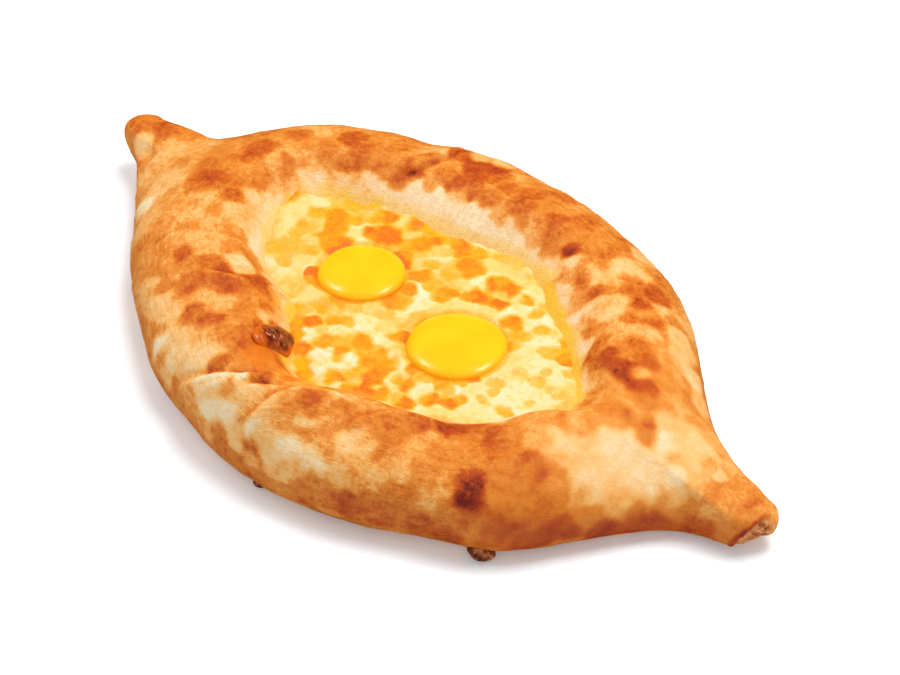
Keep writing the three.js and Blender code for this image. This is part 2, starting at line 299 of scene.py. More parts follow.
def patched(points, patches, base, base_weight, reach=1.1):
    """A level at each point. Each patch is a centre, a radius and a level. It pulls the level towards its own
    by a bell of the distance, divided by its area, so that small patches win over large ones. The base fills
    the rest."""
    total = base * base_weight
    weights = np.full(points.shape[:-1], base_weight)
    for x, y, z, radius, level in patches:
        distance = np.linalg.norm(points - (x, y, z), axis=-1)
        pull = bell(distance, reach * radius) / radius**2
        total = total + pull * level
        weights = weights + pull
    return total / weights


def heaped(points, patches):
    """The levels of all patches added up, each times a bell of the distance over its radius."""
    away = (np.linalg.norm(points - (x, y, z), axis=-1) for x, y, z, *_ in patches)
    return sum(level * bell(distance, radius) for distance, (*_, radius, level) in zip(away, patches))


# %% Grids and meshes
def normals(grid):
    """Across each grid: the cross product of the step to the next column and the step to the next row."""
    around = np.roll(grid, -1, 0) - np.roll(grid, 1, 0)
    along = np.gradient(grid, axis=1)
    normal = np.cross(around, along)
    return normal / np.maximum(np.linalg.norm(normal, axis=-1, keepdims=True), 1e-9)


FRAME_WIDTH, FRAME_HEIGHT, SENSOR_WIDTH = 900, 675, 36
FOCAL = LENS / SENSOR_WIDTH * FRAME_WIDTH
FRAME_STEP = DISTANCE / MM / FOCAL  # one step of the frame in mm on the bread


def in_frame(points):
    """Across and down in the camera's frame, and depth: the offset from the camera is taken along its own
    right, up and back, and the first two are divided by the third."""
    right, up, back = np.array(camera.rotation_euler.to_matrix()).T
    offset = points - np.array(camera.location) / MM
    depth = -(offset @ back)
    across = FRAME_WIDTH / 2 + FOCAL * (offset @ right) / depth
    down = FRAME_HEIGHT / 2 - FOCAL * (offset @ up) / depth
    return across, down, depth


NEAR_STEPS, ONE_LAYER, FAR_AWAY = 4.5, 7.0, 1e6


def laid_on(grid, dabs):
    """Dabs laid on the grid as the camera sees it. A dab is across, down, radius and level. Of the points
    that face the camera within NEAR_STEPS of its place, those over ONE_LAYER mm behind the first are hidden,
    and the closest of the rest becomes its centre. Its radius becomes millimetres."""
    across, down, depth = in_frame(grid)
    turned_away = np.sum(normals(grid) * (np.array(camera.location) / MM - grid), -1) < 0
    places = []
    for dab in dabs:
        off = np.hypot(across - dab[0], down - dab[1]) + FAR_AWAY * turned_away
        in_reach = off < max(NEAR_STEPS, off.min() + 0.1)
        front = depth[in_reach].min()
        off[~in_reach | (depth > front + ONE_LAYER)] = FAR_AWAY**2
        places.append(grid[np.unravel_index(np.argmin(off), off.shape)])
    radii = dabs[:, 2:3] * FRAME_STEP
    return np.concatenate([places, radii, dabs[:, 3:]], 1)


def touched_up(dabs, touches):
    """The dabs with new levels, to two places: each touch adds its change times a bell of the distance over
    its reach."""
    level = dabs[:, 3].copy()
    for change, places in touches.items():
        for across, down, reach in places:
            level += change * bell(np.hypot(dabs[:, 0] - across, dabs[:, 1] - down), reach)
    return np.column_stack([dabs[:, :3], np.clip(level, 0, BURNT).round(2)])


def closed_mesh(name, grid, low, high, **levels):
    """A closed mesh from columns of points that run from the point low to the point high. Each level is a
    number for every point of the grid, kept as an attribute of that name."""
    columns, rows = grid.shape[:2]
    points = np.concatenate([[low, high], grid.reshape(-1, 3)]) * MM
    here = 2 + np.arange(columns)[:, None] * rows + np.arange(rows)
    ahead = np.roll(here, -1, 0)
    quads = np.stack([here[:, :-1], ahead[:, :-1], ahead[:, 1:], here[:, 1:]], -1).reshape(-1, 4)
    low_fan = (np.zeros(columns, int), ahead[:, 0], here[:, 0])
    high_fan = (np.ones(columns, int), here[:, -1], ahead[:, -1])
    triangles = np.concatenate([np.stack(fan, -1) for fan in (low_fan, high_fan)])
    mesh = bpy.data.meshes.new(name)
    mesh.vertices.add(len(points))
    mesh.vertices.foreach_set("co", points.ravel())
    corners = np.concatenate([quads.ravel(), triangles.ravel()])
    sizes = np.concatenate([np.full(len(quads), 4), np.full(len(triangles), 3)])
    mesh.loops.add(len(corners))
    mesh.loops.foreach_set("vertex_index", corners)
    mesh.polygons.add(len(sizes))
    mesh.polygons.foreach_set("loop_start", np.concatenate([[0], np.cumsum(sizes)[:-1]]))
    mesh.polygons.foreach_set("use_smooth", np.ones(len(sizes), bool))
    for level, values in levels.items():
        ends = [values[:, 0].mean(), values[:, -1].mean()]
        layer = mesh.attributes.new(level, "FLOAT", "POINT")
        layer.data.foreach_set("value", np.concatenate([ends, values.ravel()]).astype(np.float32))
    mesh.update(calc_edges=True)
    return mesh


def add_piece(name, mesh, finish, replaced=()):
    """The mesh as a visible piece with its finish, riding on the bread's one body, in place of CAD nodes."""
    piece = bpy.data.objects.new(name, mesh)
    bpy.context.collection.objects.link(piece)
    mesh.materials.append(finish.material)
    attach(piece, "root")
    if replaced:
        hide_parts(*replaced)
    size = np.ptp(np.array([v[:] for v in piece.bound_box]), axis=0) / MM
    print(name, "is", size.round(1), "mm with", len(mesh.polygons), "faces")


# %% [markdown]
# ## The bread's form
#
# The dough was rolled out, its two long sides folded inwards and its ends twisted into knobs. So seen from
# above the bread is a spindle with its own swells, and cut across it is a fat rounded rim on a flat base.
# It could be sculpted by hand, or lofted through drawn sections. Here each direction round the boat gets one
# section line between two curves, the outline and the edge of the opening, because both can be measured.

# %% Sizes of the boat
HALF_LENGTH = 170
BEAM, FULLNESS, TAPER = 84, 2.8, 2.2
KNOB = (7.8, 10.1)  # left end, right end
TIP_Y = (13.7, 12.5)
OUTLINE_END = 8
# place along the bread, width, amount
FAR_SWELLS = [
    (-152, 9, 1.8), (-132, 17, -5), (-102, 23, 2.4), (-57, 20, -3.8), (45, 20, -1.2), (112, 22, -5.4),
    (134, 18, -3.5),
]
NEAR_SWELLS = [(-154, 17, -1.7), (-72, 37, -5.6), (-27, 20, -2), (105, 20, 8.5), (143, 19, -7.9)]
OPENING = np.array([84, 68.5, 57, 54, 51, 46.5, 50.5, 61, 76, 69, 55.5, 40.5, 42, 51, 57, 55, 62, 73.5])
OPENING_SPREAD = 0.34
# CREST_DIP, CREST_INWARD and ROUND_SWELL: direction in degrees, width, amount
CREST, CREST_DIP, CREST_INWARD = 38.4, (303, 12, -4.5), (285, 25, -4)
CREST_FROM_LIP, CREST_FROM_LIP_AT_ENDS, CREST_SHARE = 20, 6, 0.45
SIDE, SIDE_DROP_AT_ENDS = 14, 2
BASE_INSET, BASE_INSET_SHARE, BASE_SHARE = 11, 0.25, 0.68
ROUND, ROUND_SWELL = 2.3, (93, 14, 0.7)
LEVEL, FLOOR, ENDS_FROM = 24, 10, 0.75
DROP, DROP_FROM, DROP_TO = (0.48, 0.51), 95, 168
LIFT, LIFT_FROM, LIFT_TO = (13.4, 4.5), (125, 120), 170


def end_to_end(ends, x):
    """The left end's value at the left tip, the right end's at the right tip, smooth between."""
    return ends[0] + (ends[1] - ends[0]) * smooth(-HALF_LENGTH, HALF_LENGTH, x)


def at_ends(ends, starts, stop, x):
    """Zero along the middle, rising to the left or the right end's value towards that tip."""
    return ends[0] * smooth(starts[0], stop, -x) + ends[1] * smooth(starts[1], stop, x)


def bell_round(angle, shape):
    """A bell centred on a direction in degrees: place, width, amount."""
    away = (np.degrees(angle) - shape[0] + 180) % 360 - 180
    return shape[2] * bell(away, shape[1])


def outline(angle):
    """Outer edge in plan. x is the half length times the cosine. The half width is the knob, plus the body
    (1 - |cos|^fullness)^taper, plus that side's swells, closed like an ellipse over the last knob radius."""
    x, share = HALF_LENGTH * np.cos(angle), np.abs(np.cos(angle))
    knob = end_to_end(KNOB, x)
    body = BEAM * (1 - share**FULLNESS) ** TAPER
    far = sum(amount * bell(x - at, width) for at, width, amount in FAR_SWELLS)
    near = sum(amount * bell(x - at, width) for at, width, amount in NEAR_SWELLS)
    swell = np.where(np.sin(angle) >= 0, far, near) * np.sqrt(1 - share**OUTLINE_END)
    first = 1 - knob / HALF_LENGTH
    nose = np.clip((share - first) / (1 - first), 0, 1)
    width = (knob + body + swell) * np.sqrt(1 - nose**2)
    return np.stack([x, end_to_end(TIP_Y, x) * share**2 + np.sign(np.sin(angle)) * width], -1)


def opening(angle):
    """Edge of the opening at cheese level: a closed spline through points whose radii are the values of
    OPENING. Between points b and c, with a and d their neighbours, it is Catmull and Rom's cubic."""
    turns = np.arange(len(OPENING)) * TAU / len(OPENING)
    points = OPENING[:, None] * np.stack([np.cos(turns), np.sin(turns)], -1)
    turned = np.arctan2(OPENING_SPREAD * np.sin(angle), np.cos(angle)) % TAU
    t = turned / TAU * len(OPENING)
    first = np.floor(t).astype(int)
    f = (t - first)[:, None]
    a, b, c, d = (points[(first + k) % len(OPENING)] for k in (-1, 0, 1, 2))
    return b + f / 2 * (c - a + f * (2 * a - 5 * b + 4 * c - d + f * (3 * (b - c) + d - a)))


def section_sizes(angle):
    """The rim's section in each direction: where the lip is, how far out the edge and the crest are, and
    heights."""
    lip = opening(angle)
    out = outline(angle) - lip
    reach = np.linalg.norm(out, axis=-1)
    ends = smooth(ENDS_FROM, 1, np.abs(np.cos(angle)))
    crest_out = np.minimum(
        CREST_SHARE * reach, CREST_FROM_LIP + CREST_FROM_LIP_AT_ENDS * ends + bell_round(angle, CREST_INWARD)
    )
    crest = CREST + bell_round(angle, CREST_DIP)
    lip_share = np.arccos(2 * (LEVEL - FLOOR) / (crest - FLOOR) - 1) / np.pi
    return {
        "lip": lip,
        "out": out / reach[:, None],
        "reach": reach,
        "crest_out": crest_out,
        "crest": crest,
        "round": ROUND + bell_round(angle, ROUND_SWELL),
        "side": SIDE - SIDE_DROP_AT_ENDS * ends,
        "inset": np.minimum(BASE_INSET, BASE_INSET_SHARE * reach) * (1 - 0.5 * ends),
        "well_in": crest_out * (1 - lip_share) / lip_share,
    }


def place(sizes, away, height):
    """A point at a distance outwards from the lip and a height, with the ends lowered and lifted off the
    table."""
    plan = sizes["lip"] + sizes["out"] * away[:, None]
    x = plan[:, 0]
    drop = at_ends(DROP, (DROP_FROM, DROP_FROM), DROP_TO, x)
    lift = at_ends(LIFT, LIFT_FROM, LIFT_TO, x)
    return np.concatenate([plan, (height * (1 - drop) + lift)[:, None]], -1)


print("the opening reaches", opening(np.array([0, np.pi / 2])).round(1).tolist(), "mm from the middle")

# %% [markdown]
# ## The rim's section line
#
# From the base edge the side bulges out as a quarter of an ellipse, the outer slope rises to the crest as a
# rounder quarter, and the inner slope falls to the floor under the cheese as half a cosine wave.

# %% Section of the rim
SIDE_ROWS, SLOPE_ROWS, WALL_ROWS, WELL_ROWS = 14, 62, 42, 6
WALL_SHARE = 0.62  # the inner slope has wall rows down to here, and well rows where the cheese covers it
BREAD_COLUMNS = 790


def bread_grid(columns):
    """All section lines, one column for each direction. Turns run from 0 to a quarter circle on the two outer
    arcs: distance = reach - inset (1 - sin) and height = side (1 - cos), then distance = crest + rest
    cos^(2/round) and height = side + rest sin^(2/round). The inner slope is half a cosine wave."""
    sizes = section_sizes(np.linspace(0, TAU, columns, endpoint=False))
    reach, crest_out, crest = sizes["reach"], sizes["crest_out"], sizes["crest"]
    side, roundness = sizes["side"], sizes["round"]
    lines = []
    for turn in np.linspace(0, np.pi / 2, SIDE_ROWS, endpoint=False):
        lines.append((reach - sizes["inset"] * (1 - np.sin(turn)), side * (1 - np.cos(turn))))
    for turn in np.linspace(0, np.pi / 2, SLOPE_ROWS, endpoint=False):
        away = crest_out + (reach - crest_out) * np.cos(turn) ** (2 / roundness)
        lines.append((away, side + (crest - side) * np.sin(turn) ** (2 / roundness)))
    wall = np.linspace(0, WALL_SHARE, WALL_ROWS, endpoint=False)
    for share in [*wall, *np.linspace(WALL_SHARE, 1, WELL_ROWS)]:
        away = crest_out - (crest_out + sizes["well_in"]) * share
        lines.append((away, FLOOR + (crest - FLOOR) * (0.5 + 0.5 * np.cos(np.pi * share))))
    return np.stack([place(sizes, away, height) for away, height in lines], 1)


smooth_bread = bread_grid(BREAD_COLUMNS)
print("bread grid", smooth_bread.shape[:2], "highest point", smooth_bread[..., 2].max().round(1), "mm")

# %% [markdown]
# ## Folds and lumps
#
# The near rim is made of rolls of dough that lie over each other. Each fold is a line in plan with the raised
# roll on one side, so the surface steps up across it and a narrow groove runs along its foot. The skin also
# has wrinkles, which are small folds, and lumps. These forms are too large for noise and each has its own
# place, so they are drawn one by one.

# %% Folds and lumps
# points of the line, height of the roll, depth of the groove, reach of the roll, half width of the step
FOLDS = [
    ([(-36, -88), (-21, -84), (-2, -77), (8, -70), (16, -62)], 3.0, 1.4, 16, 1.5),
    ([(10, -90), (13, -83), (16, -75), (24, -66), (44, -59)], 3.5, 1.4, 16, 1.5),
    ([(43, -71), (45, -63), (50, -55), (58, -48), (66, -42)], 3.0, 1.2, 14, 1.5),
    ([(72, -38), (81, -33), (90, -30)], 1.2, 0.6, 14, 1.6),
    ([(-40, 80), (-40, 66), (-43, 57), (-46, 50)], 2.5, 1.2, 12, 1.4),
    ([(-58, -46), (-47, -42), (-40, -39)], 2.0, 0.8, 10, 1.5),
]
WRINKLES = [
    ([(-89, -46), (-86, -38), (-83, -34), (-80, -31)], 0.7, 0.7, 5, 0.9),
    ([(-138, -9), (-142, -3), (-141, 1), (-137, 4)], 0.9, 0.7, 6, 1.0),
    ([(-69, -28), (-65, -24), (-61, -17), (-64, -10)], 0.6, 0.7, 4, 0.8),
    ([(-57, -36), (-49, -34), (-44, -32), (-41, -27)], 0.6, 0.7, 4, 0.8),
    ([(-21, -87), (-11, -84), (-3, -80), (0, -75)], 0.5, 0.6, 5, 0.9),
    ([(40, 43), (42, 45), (44, 47), (48, 48)], 0.5, 0.6, 4, 0.7),
    ([(59, 56), (63, 58), (68, 61), (69, 67)], 0.8, 0.8, 5, 0.8),
    ([(10, 74), (14, 75), (19, 74), (23, 72)], 0.7, 0.6, 4, 0.8),
    ([(70, 13), (75, 15), (80, 14), (87, 16)], 0.6, 0.8, 4, 0.8),
    ([(-106, -34), (-101, -30), (-96, -28)], 0.6, 0.5, 5, 0.9),
    ([(-79, 29), (-75, 31), (-70, 31), (-66, 34)], 0.6, 0.6, 4, 0.8),
    ([(0, -82), (5, -79), (10, -76), (14, -73)], 1.2, 1.6, 4, 1.0),
    ([(-30, -62), (-24, -66), (-14, -68), (-4, -69)], 0.5, 0.5, 5, 0.9),
    ([(-108, -10), (-100, -18), (-92, -22)], 0.5, 0.5, 5, 0.9),
]
# centre, radius, amount
LUMPS = np.array([
    (169, 4, 8.5, 6, -3.5), (-143, 17, 30, 9, 3), (-145, 2, 22, 5, -2), (-37, 76, 37, 7, 1.5),
    (96, -57, 27, 16, 1.5), (122, -8, 30, 18, -1.5), (-78, 19, 27, 6, -2),
])
FOLDS_FROM, LUMPS_FROM = (10, 26), (1, 5)
FOLD_STEPS = 24


def fold_line(points):
    """A line evenly divided in FOLD_STEPS, through the points by a quadratic on each three neighbours."""
    points = np.array(points, float)
    along = np.concatenate([[0], np.cumsum(np.linalg.norm(np.diff(points, axis=0), axis=1))])
    steps = np.linspace(0, along[-1], FOLD_STEPS + 1)
    slopes = np.gradient(points, along, axis=0)
    left = np.clip(np.searchsorted(along, steps, "right") - 1, 0, len(points) - 2)
    span = (along[left + 1] - along[left])[:, None]
    t = ((steps - along[left]) / span[:, 0])[:, None]
    ends = points[left] * (1 + 2 * t) * (1 - t) ** 2 + points[left + 1] * t**2 * (3 - 2 * t)
    return ends + span * (slopes[left] * t * (1 - t) ** 2 - slopes[left + 1] * t**2 * (1 - t))


def fold_height(plan, points, height, groove, reach, edge):
    """With s the signed distance to the line, positive on the raised side, and t the share of its length:
    (height smooth(-edge, edge, s) e^(-s / reach) - groove bell(s, edge)) sqrt(sin(pi t)), fading by 1.5
    reach."""
    line = fold_line(points)
    near = np.full(plan.shape[:-1], FAR_AWAY)
    side, share = np.ones_like(near), np.zeros_like(near)
    for i, (start, step) in enumerate(zip(line[:-1], np.diff(line, axis=0))):
        start_to = plan - start
        t = np.clip(start_to @ step / (step @ step), 0, 1)
        distance = np.linalg.norm(start_to - t[..., None] * step, axis=-1)
        closer = distance < near
        near = np.where(closer, distance, near)
        side = np.where(closer, np.sign(start_to[..., 0] * step[1] - start_to[..., 1] * step[0]), side)
        share = np.where(closer, (i + t) / FOLD_STEPS, share)
    signed = near * side
    roll = height * smooth(-edge, edge, signed) * np.exp(-np.maximum(signed, 0) / reach)
    ends = np.sqrt(np.clip(np.sin(np.pi * share), 0, 1)) * (1 - smooth(0, 1.5 * reach, near))
    return (roll - groove * bell(signed, edge)) * ends


plan, high = smooth_bread[..., :2], smooth_bread[..., 2]
folds = sum(fold_height(plan, *fold) for fold in FOLDS)
wrinkles = sum(fold_height(plan, *fold) for fold in WRINKLES)
lumps = heaped(smooth_bread, LUMPS)
print("folds rise to", folds.max().round(1), "mm, wrinkles to", wrinkles.max().round(1), "mm")

# %% [markdown]
# ## Putting relief on the bread
#
# The folds and wrinkles fade out on the wall over the cheese, so that the filling still fits. The grid with
# them on is the form that everything else is laid on. The skin then gets the unevenness of every baked crust,
# as noise of several sizes, and small bubbles, scattered by a seeded generator so that every run gives the
# same bread. Last, the right end was pulled off its neighbour, so behind a ridge of crust the crumb shows.

# %% Relief of the crust
INNER_FROM = SIDE_ROWS + SLOPE_ROWS
FADE_ON_WALL = (0.125, 0.5)  # shares of the inner slope
ABOVE_TABLE = (0.5, 5)
BUBBLES, BUBBLE_RADIUS, BUBBLE_HEIGHT = 260, (1.0, 2.8), (0.12, 0.38)
# height, size of the lumps, shift
UNEVENNESS = [(0.6, 19, 5.5), (0.3, 8, 2.2), (0.14, 3.4, 0.0)]
# the torn end: the way it faces, its ridge of crust, and the crumb behind the ridge
TEAR_FACING, TEAR_WAVE = (1, -0.1, -0.5), 0.5
RIDGE_AT, RIDGE_WIDTH, RIDGE_HEIGHT = 157.0, 0.8, 0.5
CRUMB_FROM, CRUMB_DEPTH, CRUMB_ROUGH = (157.6, 158.6), 1.2, 0.8
TEAR_CORNER, TEAR_BOTTOM, TEAR_BACK = (11, 14.5), (3, 6), (150, 156)

wall_shares = np.linspace(0, WALL_SHARE, WALL_ROWS, endpoint=False)
inner_share = np.concatenate([np.zeros(INNER_FROM), wall_shares, np.linspace(WALL_SHARE, 1, WELL_ROWS)])
clear_of_filling = 1 - smooth(*FADE_ON_WALL, inner_share)
over_table = smooth(*ABOVE_TABLE, high)
big_relief = (folds + wrinkles) * smooth(*FOLDS_FROM, high) + lumps * smooth(*LUMPS_FROM, high)
formed = smooth_bread + normals(smooth_bread) * (big_relief * clear_of_filling)[..., None]
formed_x, formed_y = formed[..., 0], formed[..., 1]

random = np.random.default_rng(77)
bubbles = np.zeros(formed.shape[:2])
for centre in formed.reshape(-1, 3)[random.integers(0, high.size, BUBBLES)]:
    radius = random.uniform(*BUBBLE_RADIUS)
    bubbles += random.uniform(*BUBBLE_HEIGHT) * bell(np.linalg.norm(formed - centre, axis=-1), radius)

unevenness = sum(height * cloud(formed, size, shift) for height, size, shift in UNEVENNESS)
fine_relief = (unevenness + bubbles) * over_table * (0.4 + 0.6 * clear_of_filling)

tear = formed @ TEAR_FACING + TEAR_WAVE * cloud(formed, 3.5, 9.1)
below_corner = 1 - smooth(*TEAR_CORNER, formed_y)
crumb = smooth(*CRUMB_FROM, tear) * below_corner * smooth(*TEAR_BOTTOM, high)
ridge = bell(tear - RIDGE_AT, RIDGE_WIDTH) * below_corner * smooth(*TEAR_BACK, formed_x)
torn = RIDGE_HEIGHT * ridge - CRUMB_DEPTH * crumb + CRUMB_ROUGH * crumb * cloud(formed, 1.8, 4.4)

crust_grid = formed + normals(formed) * (fine_relief + torn)[..., None]
crust_grid = np.concatenate([crust_grid[:, :1] * (BASE_SHARE, BASE_SHARE, 0), crust_grid], 1)
print("fine relief from", fine_relief.min().round(2), "to", fine_relief.max().round(2), "mm")
